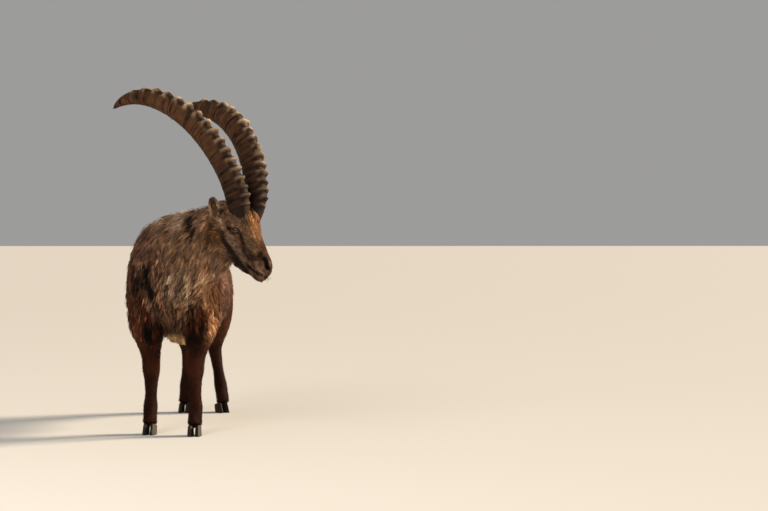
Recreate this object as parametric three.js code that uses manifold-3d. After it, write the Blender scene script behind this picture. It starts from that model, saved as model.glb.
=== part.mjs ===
// Alpine ibex, adult male, standing at life size with its head turned to its own left.
// Millimetres. While it is shaped: +X to the animal's left, +Y to its tail, +Z up, the floor
// at Z = 0 and the forefeet either side of X = 0, Y = 0. At the end everything is moved so
// that the middle of the underside of its box is the origin.

import * as THREE from 'three';
import { ParametricGeometry } from 'three/addons/geometries/ParametricGeometry.js';
import { mergeVertices } from 'three/addons/utils/BufferGeometryUtils.js';
import Module from 'manifold-3d';

const wasm = await Module();
wasm.setup();

// Driving dimensions
const GAP = 0.3;                 // air left between two neighbouring parts
const MERGE = 1e-3;              // corners closer than this are one
const WITHERS = 940;             // height of the coat over the shoulders
const REAR_Y = 860;              // how far the hocks stand behind the forefeet
const REAR_SHIFT = 42;           // how far the hindquarters stand to the left of the chest
const FOREFOOT_X = 98;           // half the distance between the forefeet
const LEFT_FORE_STEP = 60;       // the left forefoot stands this much ahead
const HOCK_SPREAD = 62;          // half the distance between the hocks
const LEFT_HIND_SPLAY = 52;      // the left hind foot stands this much wider than its hock
const RIGHT_HIND_SPLAY = 14;
const HEAD_SCALE = 11.2;         // one centimetre of the plain head, in millimetres here
const HEAD_YAW = 40.4;           // degrees from straight ahead round to the left
const HEAD_PITCH = 47;           // degrees of the nose bridge below level
const HEAD_ROLL = 8.8;           // degrees that the crown leans to the left
const FOREHEAD = new THREE.Vector3(355, -343, 919);   // on the brow, between the horns' fronts
const HORN_KNOBS = 17;           // thick ridges across the front of each horn
const EYE_RADIUS = 18;
const EYE = { along: 2.4, up: -4.7, left: 4.95 };   // centre of the ball, on the plain head

// The midline of the body bends gently to the left towards the tail
const midline = (y) => REAR_SHIFT * Math.max(y, 0) / REAR_Y;

// Smooth curve through a table of rows, one value at a time, at row number t
function readRow(rows, t) {
  const last = rows.length - 1;
  const i = Math.min(Math.floor(t), last - 1);
  const f = t - i;
  const before = rows[Math.max(i - 1, 0)];
  const after = rows[Math.min(i + 2, last)];
  return rows[i].map((a, k) => {
    const b = rows[i + 1][k];
    const slopeA = (b - before[k]) / 2;
    const slopeB = (after[k] - a) / 2;
    return a + slopeA * f + (3 * (b - a) - 2 * slopeA - slopeB) * f * f
      + (2 * (a - b) + slopeA + slopeB) * f * f * f;
  });
}

// Turns a geometry into a solid: its seam and poles are merged, the triangles that the poles
// flatten are dropped, and its faces are made to point out
function solid(geometry) {
  geometry.deleteAttribute('normal');
  geometry.deleteAttribute('uv');
  const merged = mergeVertices(geometry, MERGE);
  const position = merged.attributes.position;
  const [a, b, c] = [new THREE.Vector3(), new THREE.Vector3(), new THREE.Vector3()];
  const kept = [];
  let volume = 0;
  for (let i = 0; i < merged.index.count; i += 3) {
    const corners = [0, 1, 2].map((corner) => merged.index.getX(i + corner));
    if (new Set(corners).size < 3) continue;
    kept.push(...corners);
    a.fromBufferAttribute(position, corners[0]);
    b.fromBufferAttribute(position, corners[1]);
    c.fromBufferAttribute(position, corners[2]);
    volume += a.dot(b.cross(c));
  }
  if (volume < 0) kept.reverse();
  const mesh = new wasm.Mesh({
    numProp: 3,
    vertProperties: new Float32Array(position.array),
    triVerts: new Uint32Array(kept),
  });
  return new wasm.Manifold(mesh);
}

// Solid inside a surface given over 0..1 round by 0..1 along
function closedSurface(surface, around, along) {
  const target = new THREE.Vector3();
  const wrapped = (u, v, out) => out.copy(surface(u === 1 ? 0 : u, v, target));
  return solid(new ParametricGeometry(wrapped, around, along));
}

// Ball or egg with the given half sizes, upright at a place
function egg(halfSizes, place, around = 12, along = 8) {
  const sphere = new THREE.SphereGeometry(1, around, along);
  sphere.scale(...halfSizes);
  sphere.translate(...place);
  return solid(sphere);
}

// A form carried along the middle line of a table. Each row is
// [x, y, z, half width, reach towards `toward`, reach away from it, narrowing of the toward
// side, narrowing of the away side]. Its two ends are rounded over the given lengths, and
// `grow` makes it larger all over. A form that turns right round takes `sideways`, the
// direction square to its bend, in place of `toward`.
function loft({
  rows, toward, sideways, caps, around = 16, steps = 1, capRings = 2, square = 1, grow = 0,
}) {
  const count = (rows.length - 1) * steps;
  const along = count + 2 * capRings;
  const here = new THREE.Vector3();
  const ahead = new THREE.Vector3();
  const tangent = new THREE.Vector3();
  const side = new THREE.Vector3();
  const out = new THREE.Vector3();
  const bend = (value) => Math.sign(value) * Math.abs(value) ** square;
  const surface = (u, v, target) => {
    const ring = v * along;
    const t = THREE.MathUtils.clamp((ring - capRings) / steps, 0, rows.length - 1);
    const row = readRow(rows, t);
    here.fromArray(row);
    ahead.fromArray(readRow(rows, Math.min(t + 0.05, rows.length - 1)));
    const behind = readRow(rows, Math.max(t - 0.05, 0));
    tangent.copy(ahead).sub(out.fromArray(behind)).normalize();
    if (sideways) {
      side.copy(sideways).addScaledVector(tangent, -sideways.dot(tangent)).normalize();
    } else {
      side.crossVectors(toward, tangent).normalize();
    }
    out.crossVectors(tangent, side);
    let shrink = 1;
    if (ring < capRings) {
      const turn = (ring / capRings) * Math.PI / 2;
      shrink = Math.sin(turn);
      here.addScaledVector(tangent, -(caps[0] + grow) * Math.cos(turn));
    }
    if (ring > along - capRings) {
      const turn = ((along - ring) / capRings) * Math.PI / 2;
      shrink = Math.sin(turn);
      here.addScaledVector(tangent, (caps[1] + grow) * Math.cos(turn));
    }
    const angle = u * 2 * Math.PI;
    const up = bend(Math.cos(angle));
    const narrow = 1 - (up > 0 ? row[6] : row[7]) * Math.abs(up) ** 1.5;
    const wide = bend(Math.sin(angle)) * (row[3] + grow) * narrow * shrink;
    const high = up * ((up > 0 ? row[4] : row[5]) + grow) * shrink;
    return target.copy(here).addScaledVector(side, wide).addScaledVector(out, high);
  };
  return closedSurface(surface, around, along);
}

const UP = new THREE.Vector3(0, 0, 1);
const AHEAD = new THREE.Vector3(0, -1, 0);

// Trunk, from the rump forward to the breast.
// Columns of the table: Y, height of the middle, half width, height above it, depth below it,
// narrowing at the back line, narrowing at the belly.
const TRUNK_TABLE = [
  [912, 704, 96, 138, 112, 0.15, 0.10],
  [850, 650, 134, 234, 126, 0.40, 0.20],
  [760, 598, 150, 284, 136, 0.50, 0.20],
  [650, 575, 164, 306, 150, 0.52, 0.15],
  [530, 562, 178, 320, 192, 0.50, 0.15],
  [410, 562, 184, 326, 212, 0.44, 0.18],
  [290, 582, 184, 324, 216, 0.36, 0.25],
  [180, 620, 186, WITHERS - 622, 222, 0.27, 0.40],
  [80, 676, 186, WITHERS - 676, 268, 0.16, 0.52],
  [-5, 668, 174, 250, 266, 0.14, 0.60],
  [-75, 640, 138, 206, 204, 0.10, 0.50],
];
const trunkRows = TRUNK_TABLE.map(([y, z, ...rest]) => [midline(y), y, z, ...rest]);
const trunkShape = { rows: trunkRows, toward: UP, caps: [52, 72], around: 20, square: 0.92 };

// Head: its own axes are forward down the nose, up out of the brow, and to its left
const yaw = THREE.MathUtils.degToRad(HEAD_YAW);
const pitch = THREE.MathUtils.degToRad(HEAD_PITCH);
const roll = THREE.MathUtils.degToRad(HEAD_ROLL);
const facing = new THREE.Vector3(Math.sin(yaw), -Math.cos(yaw), 0);
const levelLeft = new THREE.Vector3().crossVectors(UP, facing);

// Mix of two square directions, turned by an angle from the first to the second
const between = (first, second, angle) => first.clone().multiplyScalar(Math.cos(angle))
  .addScaledVector(second, Math.sin(angle));

const noseward = between(facing, UP, -pitch);
const levelCrown = between(UP, facing, pitch);
const crownward = between(levelCrown, levelLeft, roll);
const leftward = between(levelLeft, levelCrown, -roll);

// A place on the head, in centimetres of the plain head
function onHead(along, up, left) {
  return FOREHEAD.clone()
    .addScaledVector(noseward, along * HEAD_SCALE)
    .addScaledVector(crownward, up * HEAD_SCALE)
    .addScaledVector(leftward, left * HEAD_SCALE);
}

// Columns: along the head, middle height, half width, up, down, narrowing of the brow and
// nose bridge, narrowing of the jaws
const HEAD_TABLE = [
  [-11.5, -8.2, 5.6, 3.9, 6.4, 0.1, 0.1],
  [-8, -6.8, 7.0, 6.6, 9.8, 0.1, 0.2],
  [-4, -5.6, 7.2, 7.2, 11.8, 0.18, 0.32],
  [0, -4.9, 6.9, 6.3, 13.0, 0.26, 0.46],
  [3.4, -4.5, 5.9, 4.4, 13.9, 0.32, 0.52],
  [6.6, -4.6, 4.7, 4.0, 13.4, 0.32, 0.48],
  [10, -4.9, 3.75, 4.1, 11.9, 0.34, 0.36],
  [13.6, -5.2, 3.15, 4.1, 9.7, 0.34, 0.3],
  [17, -5.4, 2.8, 3.8, 7.3, 0.28, 0.26],
  [19.8, -5.6, 2.65, 3.4, 6.1, 0.22, 0.3],
  [21.4, -5.4, 1.7, 2.6, 4.4, 0.2, 0.2],
];
const headRows = HEAD_TABLE.map(([along, middle, wide, up, down, brow, jaw]) => [
  ...onHead(along, middle, 0).toArray(),
  ...[wide, up, down].map((value) => value * HEAD_SCALE), brow, jaw]);
const headShape = { rows: headRows, toward: crownward, caps: [22, 12], around: 18, square: 0.9 };

// Neck, from deep in the shoulders up into the back of the head, with its thick coat
const NAPE = onHead(-7.5, -8.6, 0);
const neckRows = [
  [0, 76, 706, 152, 150, 196, 0.1, 0.1],
  [22, -16, 762, 142, 156, 236, 0.15, 0.12],
  [76, -96, 820, 114, 132, 236, 0.2, 0.22],
  [156, -172, 862, 92, 106, 208, 0.2, 0.3],
  [...NAPE.toArray(), 78, 84, 148, 0.15, 0.3],
];
const neckShape = { rows: neckRows, toward: UP, caps: [70, 10], around: 18, steps: 2 };

// Legs. Columns: height, outward from the midline, Y, half width, reach forward, reach back.
// Below `swingFrom` a leg runs evenly out to where its foot stands.
const FORE_TABLE = [
  [845, 92, 66, 56, 56, 70],
  [770, 110, 44, 74, 86, 98],
  [670, 121, 18, 82, 104, 116],
  [580, 122, 20, 84, 94, 108],
  [510, 116, 32, 82, 74, 90],
  [445, 112, 32, 74, 58, 68],
  [385, 104, 23, 54, 47, 54],
  [325, 97, 13, 41, 40, 43],
  [268, 95, 6, 38, 42, 37],
  [222, 95, 6, 30, 32, 31],
  [160, 97, 5, 26, 26, 30],
  [122, FOREFOOT_X, 2, 31, 30, 37],
  [88, FOREFOOT_X, -10, 31, 31, 36],
  [50, FOREFOOT_X, -28, 33, 34, 36],
];
const HIND_TABLE = [
  [770, 50, 784, 40, 80, 66],
  [710, 66, 774, 51, 126, 112],
  [630, 80, 754, 65, 150, 142],
  [550, 88, 736, 70, 136, 130],
  [480, 92, 740, 66, 108, 104],
  [415, 88, 772, 54, 76, 78],
  [350, 73, 818, 41, 50, 53],
  [300, HOCK_SPREAD + 2, 856, 34, 40, 42],
  [252, HOCK_SPREAD, 864, 29, 33, 34],
  [185, HOCK_SPREAD, 852, 26, 26, 30],
  [128, HOCK_SPREAD, 842, 31, 30, 37],
  [90, HOCK_SPREAD, 832, 31, 31, 36],
  [50, HOCK_SPREAD, 814, 33, 34, 36],
];
const LEG_GRIP = 0.05;   // how much the front and back of a leg narrow, so they read as bone

function legRows({ table, hand, midX, swingFrom, splay, step }) {
  return table.map(([z, out, y, wide, fore, aft]) => {
    const swing = Math.max(swingFrom - z, 0) / swingFrom;
    const x = midX + hand * (out + splay * swing);
    return [x, y - step * swing, z, wide, fore, aft, LEG_GRIP, LEG_GRIP];
  });
}

// A foot is two claws side by side. Each is a wall that leans forward from a flat D-shaped
// sole to the smaller rim where the hair starts.
const CLAW = { length: 74, width: 29, front: 48, back: 30, lean: 18, cleft: 3, point: 0.55 };
const CLAW_LEVELS = [0, 0, 0.35, 0.75, 1, 1];      // share of the wall's height at each ring
const CLAW_SPREAD = [0, 1, 0.97, 0.9, 0.84, 0];    // share of the sole's size there

function clawSolid(place, heading, hand, grow = 0) {
  const turn = new THREE.Matrix4().makeRotationZ(heading);
  const surface = (u, v, target) => {
    const ring = Math.round(v * (CLAW_LEVELS.length - 1));
    const level = CLAW_LEVELS[ring];
    const spread = CLAW_SPREAD[ring];
    const angle = u * 2 * Math.PI;
    const along = -Math.cos(angle);               // -1 at the toe, +1 at the heel
    const toe = 1 - CLAW.point * Math.max(-along, 0) ** 2.2;
    const half = (CLAW.width / 2 + grow) * Math.sin(angle) * toe;
    const height = THREE.MathUtils.lerp(CLAW.front, CLAW.back, (along * spread + 1) / 2);
    const x = half * spread + hand * (CLAW.cleft + CLAW.width) / 2;
    const y = along * (CLAW.length / 2 + grow) * spread + CLAW.lean * level;
    target.set(x, y, level * height + (level > 0 ? grow : -grow));
    return target.applyMatrix4(turn).add(place);
  };
  return closedSurface(surface, 12, CLAW_LEVELS.length - 1);
}

// Dew claws are two small nubs of horn behind the fetlock
const DEW_CLAW = { halfSizes: [9, 10, 15], out: 15, behind: 44, above: 22 };

// Horns: a sabre curve that turns back in its own plane, thick ridges across the front.
// A ridge's number q counts from the base, and the ridges stand wider apart towards the tip.
const HORN_ROOT = { along: -2.9, up: -0.1, left: 3.35 };
const HORN_START = THREE.MathUtils.degToRad(60.8);     // from the crown direction, backwards
const HORN_TURN = THREE.MathUtils.degToRad(105);       // whole turn from base to tip
const HORN_EVEN = 0.78;                                // share of the turn spread evenly
const HORN_HOOK = 7.2;                                 // the rest grows with this power
const HORN_SPREAD = THREE.MathUtils.degToRad(12.3);    // lean outwards at the base
const HORN_LENGTH = 952;
const HORN_FRONT = 57;                                 // from its middle line to the front
const HORN_BACK = 50;
const HORN_HALF_WIDTH = 38;
const HORN_SEAT = 0.62;                                // share of the front's reach at its root
const HORN_SEAT_END = 75;                              // where the front has its whole reach
const HORN_BURIED = 28;                                // how deep its foot is set into the brow
const HORN_FOOT = [0.74, 0.36, 0.62];                  // its width, front and back there, as shares
const KNOB_FIRST = 24;
const KNOB_SPACING = 31;
const KNOB_WIDENING = 1.25;
const KNOB_HEIGHT = 17;
const RINGS_PER_KNOB = 3;
const ridgePlace = (q) => KNOB_FIRST + KNOB_SPACING * q + KNOB_WIDENING * q * (q - 1);

function hornShape(hand) {
  const back = noseward.clone().negate();
  const curl = between(back, crownward, -HORN_START);
  const start = between(between(crownward, back, HORN_START), leftward, hand * HORN_SPREAD);
  const place = onHead(HORN_ROOT.along, HORN_ROOT.up, hand * HORN_ROOT.left);
  const rings = (HORN_KNOBS + 1) * RINGS_PER_KNOB + 2;
  const buried = place.clone().addScaledVector(start, -HORN_BURIED);
  const foot = [HORN_HALF_WIDTH, HORN_FRONT, HORN_BACK].map((size, i) => size * HORN_FOOT[i]);
  const rows = [[...buried.toArray(), ...foot, 0.12, 0.3]];
  let before = 0;
  for (let ring = 0; ring < rings; ring += 1) {
    const q = ring / RINGS_PER_KNOB - 0.5;
    const reach = Math.max(ridgePlace(q), 0);
    const share = reach / HORN_LENGTH;
    const turn = HORN_TURN * (HORN_EVEN * share + (1 - HORN_EVEN) * share ** HORN_HOOK);
    place.addScaledVector(between(start, curl, turn), reach - before);
    before = reach;
    const taper = Math.sqrt(Math.max(1 - share ** 2.2, 0.004));
    const fade = THREE.MathUtils.clamp((HORN_KNOBS - 0.4 - q) / 2, 0, 1);
    const ridge = (0.5 + 0.5 * Math.cos(2 * Math.PI * q)) ** 1.5 * fade;
    const swell = 0.55 + 0.45 * Math.sin(Math.PI * Math.min(share * 1.15, 1));
    const wide = HORN_HALF_WIDTH * taper + KNOB_HEIGHT / 4 * ridge * swell;
    const seat = THREE.MathUtils.lerp(HORN_SEAT, 1, THREE.MathUtils.smoothstep(reach, 0, HORN_SEAT_END));
    const frontReach = (HORN_FRONT * taper + KNOB_HEIGHT * ridge * swell) * seat;
    rows.push([...place.toArray(), wide, frontReach, HORN_BACK * taper, 0.12, 0.3]);
  }
  return { rows, sideways: new THREE.Vector3().crossVectors(start, curl), caps: [14, 12],
    around: 8, capRings: 1, square: 0.85 };
}

// Ears: a leaf that widens from its root and closes to a blunt tip, hollowed towards the front
const EAR_ROOT = { along: -7.0, up: -9.2, left: 5.9 };
const EAR_LENGTH = 107;
const EAR_HALF = 24;
const EAR_AIM = { along: -0.42, up: 0.66, left: 0.58 };
const EAR_THICK = 9;

function earRows(root, aim) {
  const stations = [0, 0.15, 0.35, 0.55, 0.75, 0.9];
  const width = [0.68, 0.88, 1, 0.98, 0.86, 0.58];
  return stations.map((share, i) => {
    const place = root.clone().addScaledVector(aim, EAR_LENGTH * share);
    const thick = EAR_THICK * (1.5 - share);
    return [...place.toArray(), EAR_HALF * width[i], thick, thick, 0, 0];
  });
}

// Tail, short and hanging close, flat underneath
const TAIL_TABLE = [
  [872, 782, 30, 22, 24],
  [936, 792, 33, 23, 25],
  [969, 762, 32, 23, 22],
  [983, 718, 27, 19, 17],
  [986, 678, 17, 13, 12],
];
const tailRows = TAIL_TABLE.map(([y, z, wide, up, down]) => [midline(y), y, z, wide, up, down, 0, 0]);
const tailShape = { rows: tailRows, toward: UP, caps: [16, 16], around: 8, capRings: 1 };

// Colours and finishes of the coat, the horn and the eyes
const COLOURS = {
  coat: { color: 0x6b4a33, roughness: 0.95, metalness: 0 },
  neckCoat: { color: 0x8a6f55, roughness: 0.95, metalness: 0 },
  legCoat: { color: 0x4b2c1c, roughness: 0.9, metalness: 0 },
  face: { color: 0x6f5541, roughness: 0.9, metalness: 0 },
  horn: { color: 0x4a3a2c, roughness: 0.6, metalness: 0 },
  hoof: { color: 0x2b2724, roughness: 0.45, metalness: 0 },
  eye: { color: 0x5c3a14, roughness: 0.08, metalness: 0 },
};

const ibex = new THREE.Group();
ibex.name = 'alpine_ibex';

function addPart(name, body, finish) {
  const { vertProperties, triVerts } = body.getMesh();
  const geometry = new THREE.BufferGeometry();
  geometry.setAttribute('position', new THREE.BufferAttribute(new Float32Array(vertProperties), 3));
  geometry.setIndex(new THREE.BufferAttribute(new Uint32Array(triVerts), 1));
  geometry.computeVertexNormals();
  const mesh = new THREE.Mesh(geometry, new THREE.MeshStandardMaterial(COLOURS[finish]));
  mesh.name = name;
  ibex.add(mesh);
}

// Horns and eyes are set into the head, so the head is cut to clear them
let head = loft(headShape);
const headGrown = loft({ ...headShape, grow: GAP });
let neck = loft(neckShape).subtract(headGrown);
for (const [label, hand] of [['left', 1], ['right', -1]]) {
  const shape = hornShape(hand);
  addPart(`horn_${label}`, loft(shape), 'horn');
  head = head.subtract(loft({ ...shape, grow: GAP }));

  const eyePlace = onHead(EYE.along, EYE.up, hand * EYE.left).toArray();
  const ball = (radius) => egg([radius, radius, radius], eyePlace);
  addPart(`eye_${label}`, ball(EYE_RADIUS), 'eye');
  head = head.subtract(ball(EYE_RADIUS + 2 * GAP));

  const root = onHead(EAR_ROOT.along, EAR_ROOT.up, hand * EAR_ROOT.left);
  const aim = noseward.clone().multiplyScalar(EAR_AIM.along)
    .addScaledVector(crownward, EAR_AIM.up)
    .addScaledVector(leftward, hand * EAR_AIM.left).normalize();
  const earShape = { rows: earRows(root, aim), toward: noseward, caps: [6, 10], around: 10 };
  addPart(`ear_${label}`, loft(earShape).subtract(headGrown), 'face');
  neck = neck.subtract(loft({ ...earShape, grow: GAP })).subtract(loft({ ...shape, grow: GAP }));
}
addPart('head', head, 'face');

// The legs are whole, up to the shoulder and the hip; the trunk is cut to clear them
const LEGS = [
  { name: 'fore_leg_left', foot: 'fore_left', hand: 1, table: FORE_TABLE, swingFrom: 500,
    midX: 0, splay: 0, step: LEFT_FORE_STEP, heading: 0.05 },
  { name: 'fore_leg_right', foot: 'fore_right', hand: -1, table: FORE_TABLE, swingFrom: 500,
    midX: 0, splay: 0, step: 0, heading: -0.08 },
  { name: 'hind_leg_left', foot: 'hind_left', hand: 1, table: HIND_TABLE, swingFrom: 300,
    midX: REAR_SHIFT, splay: LEFT_HIND_SPLAY, step: 0, heading: 0.5 },
  { name: 'hind_leg_right', foot: 'hind_right', hand: -1, table: HIND_TABLE, swingFrom: 300,
    midX: REAR_SHIFT, splay: RIGHT_HIND_SPLAY, step: 0, heading: -0.1 },
];
let trunk = loft(trunkShape).subtract(loft({ ...neckShape, grow: GAP }));
for (const leg of LEGS) {
  const rows = legRows(leg);
  const shape = { rows, toward: AHEAD, caps: [40, 14], around: 12 };
  let body = loft(shape);
  const [footX, footY, footZ] = rows[rows.length - 1];
  const foot = new THREE.Vector3(footX, footY - CLAW.lean, 0);
  for (const [label, hand] of [['a', 1], ['b', -1]]) {
    const claw = clawSolid(foot, leg.heading, hand);
    addPart(`hoof_${leg.foot}_${label}`, claw, 'hoof');
    const { halfSizes, out, behind, above } = DEW_CLAW;
    const nub = egg(halfSizes, [footX + hand * out, footY + behind, footZ + above], 6, 4);
    body = body.subtract(clawSolid(foot, leg.heading, hand, GAP)).add(nub);
  }
  addPart(leg.name, body, 'legCoat');
  const grown = loft({ ...shape, grow: GAP });
  trunk = trunk.subtract(grown);
  neck = neck.subtract(grown);
}
addPart('neck', neck, 'neckCoat');
addPart('tail', loft(tailShape), 'coat');
addPart('trunk', trunk.subtract(loft({ ...tailShape, grow: GAP })), 'coat');

// The middle of the underside of the whole box becomes the origin
const box = new THREE.Box3().setFromObject(ibex);
const centre = box.getCenter(new THREE.Vector3());
ibex.position.set(-centre.x, -centre.y, -box.min.z);
ibex.updateMatrixWorld(true);

export default ibex;
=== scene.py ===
import math
import bmesh
import bpy
import numpy as np
from mathutils.bvhtree import BVHTree
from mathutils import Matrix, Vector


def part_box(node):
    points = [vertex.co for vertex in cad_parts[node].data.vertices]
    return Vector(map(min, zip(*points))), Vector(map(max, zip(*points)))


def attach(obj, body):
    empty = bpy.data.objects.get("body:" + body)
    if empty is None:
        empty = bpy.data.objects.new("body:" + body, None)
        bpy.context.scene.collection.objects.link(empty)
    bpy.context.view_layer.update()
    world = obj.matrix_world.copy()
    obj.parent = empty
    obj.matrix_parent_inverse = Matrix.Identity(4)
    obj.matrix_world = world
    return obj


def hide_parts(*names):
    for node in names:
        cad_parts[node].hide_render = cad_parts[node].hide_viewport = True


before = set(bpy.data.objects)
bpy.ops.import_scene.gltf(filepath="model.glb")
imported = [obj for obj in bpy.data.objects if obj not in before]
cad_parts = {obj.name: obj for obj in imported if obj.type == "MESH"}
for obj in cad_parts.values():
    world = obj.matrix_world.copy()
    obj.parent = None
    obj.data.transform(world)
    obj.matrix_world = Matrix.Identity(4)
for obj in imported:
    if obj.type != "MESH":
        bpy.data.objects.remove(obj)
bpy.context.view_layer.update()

# The flesh. An adult male alpine ibex, as a taxidermist would build the form under the skin:
# trunk, neck, head, ears, legs and tail, each a body carried along its own middle line. The
# numbers are the solids' own, in millimetres, with the coat's depth beside them.
MM = 0.001
# X is to the animal's left, Y to its tail, Z up; the forefeet stand either side of X = 0, Y = 0
UP = np.array([0.0, 0.0, 1.0])
AHEAD = np.array([0.0, -1.0, 0.0])
REAR_Y = 860
REAR_SHIFT = 42
HEAD_SCALE = 11.2
FOREHEAD = np.array([355.0, -343.0, 919.0])
head_yaw, head_pitch, head_roll = np.radians([40.4, 47.0, 8.8])


def unit(vector):
    """Each vector divided by its length."""
    length = np.linalg.norm(vector, axis=-1, keepdims=True)
    return vector / np.maximum(length, 1e-9)


def between(first, second, angle):
    """first * cos(angle) + second * sin(angle), for two square directions."""
    return first * math.cos(angle) + second * math.sin(angle)


facing = np.array([math.sin(head_yaw), -math.cos(head_yaw), 0.0])
level_left = np.cross(UP, facing)
noseward = between(facing, UP, -head_pitch)
level_crown = between(UP, facing, head_pitch)
crownward = between(level_crown, level_left, head_roll)
leftward = between(level_left, level_crown, -head_roll)
HEAD_AXES = np.array([noseward, crownward, leftward])


def on_head(places):
    """Places given as (along, up, left) in centimetres of the plain head, in the body's frame."""
    return FOREHEAD + HEAD_SCALE * np.asarray(places, float) @ HEAD_AXES


def head_places(points):
    """The other way round: (along, up, left) of points of the body's frame."""
    return (points - FOREHEAD) @ HEAD_AXES.T / HEAD_SCALE


EYE = np.array([2.4, -4.7, 4.95])
TO_FRAME = np.mean(np.array(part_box("eye_left")), axis=0) / MM - on_head(EYE)

# Columns: Y, middle height, half width, up, down, narrowing of the back, of the belly, coat
TRUNK_TABLE = [
    (912, 704, 96, 138, 112, 0.15, 0.10, 14), (850, 650, 134, 234, 126, 0.40, 0.20, 14),
    (760, 598, 150, 284, 136, 0.50, 0.20, 14), (650, 575, 164, 306, 150, 0.52, 0.15, 15),
    (530, 562, 178, 320, 192, 0.50, 0.15, 17), (410, 562, 184, 326, 212, 0.44, 0.18, 18),
    (290, 582, 184, 324, 216, 0.36, 0.25, 19), (180, 620, 186, 318, 222, 0.27, 0.40, 21),
    (80, 676, 186, 264, 268, 0.16, 0.52, 26), (-5, 668, 174, 250, 266, 0.14, 0.60, 28),
    (-75, 640, 138, 206, 204, 0.10, 0.50, 26),
]
# Columns: along, middle height, half width, up, down, narrowing of the brow, of the jaws, coat
HEAD_TABLE = [
    (-11.5, -8.2, 5.6, 3.9, 6.4, 0.1, 0.1, 9), (-8, -6.8, 7.0, 6.6, 9.8, 0.1, 0.2, 7),
    (-4, -5.6, 7.2, 7.2, 11.6, 0.18, 0.32, 6), (0, -4.9, 6.9, 6.3, 12.5, 0.26, 0.44, 5),
    (3.4, -4.5, 5.9, 4.4, 13.1, 0.32, 0.50, 3.5), (6.6, -4.6, 4.7, 4.0, 12.5, 0.32, 0.46, 3.5),
    (10, -4.9, 3.75, 4.1, 11.1, 0.34, 0.35, 3), (13.6, -5.2, 3.15, 4.1, 9.2, 0.34, 0.28, 2.5),
    (17, -5.4, 2.8, 3.8, 7.3, 0.26, 0.22, 2), (19.8, -5.6, 2.65, 3.4, 6.0, 0.18, 0.24, 1.5),
    (21.4, -5.4, 1.7, 2.6, 4.3, 0.14, 0.16, 1.5),
]
# Columns: place, half width, up, down, narrowing above, narrowing below, coat
NECK_TABLE = [
    (0, 76, 706, 152, 150, 196, 0.1, 0.1, 26), (22, -16, 762, 142, 156, 236, 0.15, 0.12, 26),
    (76, -96, 820, 114, 132, 236, 0.2, 0.22, 26), (156, -172, 862, 92, 106, 208, 0.2, 0.3, 22),
    (*on_head((-7.5, -8.6, 0)), 78, 84, 148, 0.15, 0.3, 14),
]
# Columns: height, outward, Y, half width, reach forward, reach back, coat
FORE_TABLE = [
    (845, 92, 66, 56, 56, 70, 22), (770, 110, 44, 74, 86, 98, 22), (670, 121, 18, 82, 104, 116, 21),
    (580, 122, 20, 84, 94, 108, 18), (510, 116, 32, 82, 74, 90, 14), (445, 112, 32, 74, 58, 68, 10),
    (385, 104, 23, 54, 47, 54, 6), (325, 97, 13, 41, 40, 43, 4), (268, 95, 6, 38, 42, 37, 3),
    (222, 95, 6, 30, 32, 31, 3), (160, 97, 5, 26, 26, 30, 3), (122, 98, 2, 31, 30, 37, 3),
    (88, 98, -10, 31, 31, 36, 4), (50, 98, -28, 33, 34, 36, 8),
]
HIND_TABLE = [
    (770, 50, 784, 40, 80, 66, 12), (710, 66, 774, 51, 126, 112, 14), (630, 80, 754, 65, 150, 142, 14),
    (550, 88, 736, 70, 136, 130, 13), (480, 92, 740, 66, 108, 104, 10), (415, 88, 772, 54, 76, 78, 7),
    (350, 73, 818, 41, 50, 53, 4), (300, 64, 856, 34, 40, 42, 3), (252, 62, 864, 29, 33, 34, 3),
    (185, 62, 852, 26, 26, 30, 3), (128, 62, 842, 31, 30, 37, 3), (90, 62, 832, 31, 31, 36, 4),
    (50, 62, 814, 33, 34, 36, 8),
]
LEG_GRIP = 0.05
TAIL_TABLE = [
    (872, 782, 30, 22, 24, 9), (936, 792, 33, 23, 25, 10), (969, 762, 32, 23, 22, 10),
    (983, 718, 27, 19, 17, 9), (986, 678, 17, 13, 12, 6),
]
EAR_ROOT = np.array([-7.0, -9.2, 5.9])
EAR_AIM = unit(np.array([-0.42, 0.66, 0.58]))
EAR_LENGTH = 107
EAR_HALF = 24
EAR_THICK = 9
EAR_SHARES = np.array([0, 0.15, 0.35, 0.55, 0.75, 0.9])
EAR_WIDTHS = np.array([0.68, 0.88, 1, 0.98, 0.86, 0.58])
SKIN_OF_EAR = 1.5


def midline(y):
    """X of the body's middle line: it bends evenly to the left behind the forefeet."""
    return REAR_SHIFT * max(y, 0) / REAR_Y


def leg_rows(table, hand, mid_x, swing_from, splay, step):
    """Rows of a leg: below swing_from it runs out by splay and ahead by step, evenly with height."""
    rows = []
    for z, out, y, wide, fore, aft, coat in table:
        swing = max(swing_from - z, 0) / swing_from
        x = mid_x + hand * (out + splay * swing)
        rows.append((x, y - step * swing, z, wide, fore, aft, LEG_GRIP, LEG_GRIP, coat))
    return rows


def ear_rows(hand):
    """Rows of an ear: a leaf along its own aim, widest a third of the way up."""
    root = on_head(EAR_ROOT * (1, 1, hand))
    aim = (EAR_AIM * (1, 1, hand)) @ HEAD_AXES
    rows = []
    for share, width in zip(EAR_SHARES, EAR_WIDTHS):
        place = root + aim * EAR_LENGTH * share
        thick = EAR_THICK * (1.5 - share)
        rows.append((*place, EAR_HALF * width, thick, thick, 0, 0, SKIN_OF_EAR))
    return rows


head_rows = [(*on_head((along, middle, 0)), *np.array(sizes[:3]) * HEAD_SCALE, *sizes[3:])
             for along, middle, *sizes in HEAD_TABLE]
trunk_rows = [(midline(y), y, *rest) for y, *rest in TRUNK_TABLE]
tail_rows = [(midline(y), y, z, *sizes, 0, 0, coat) for y, z, *sizes, coat in TAIL_TABLE]


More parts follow.
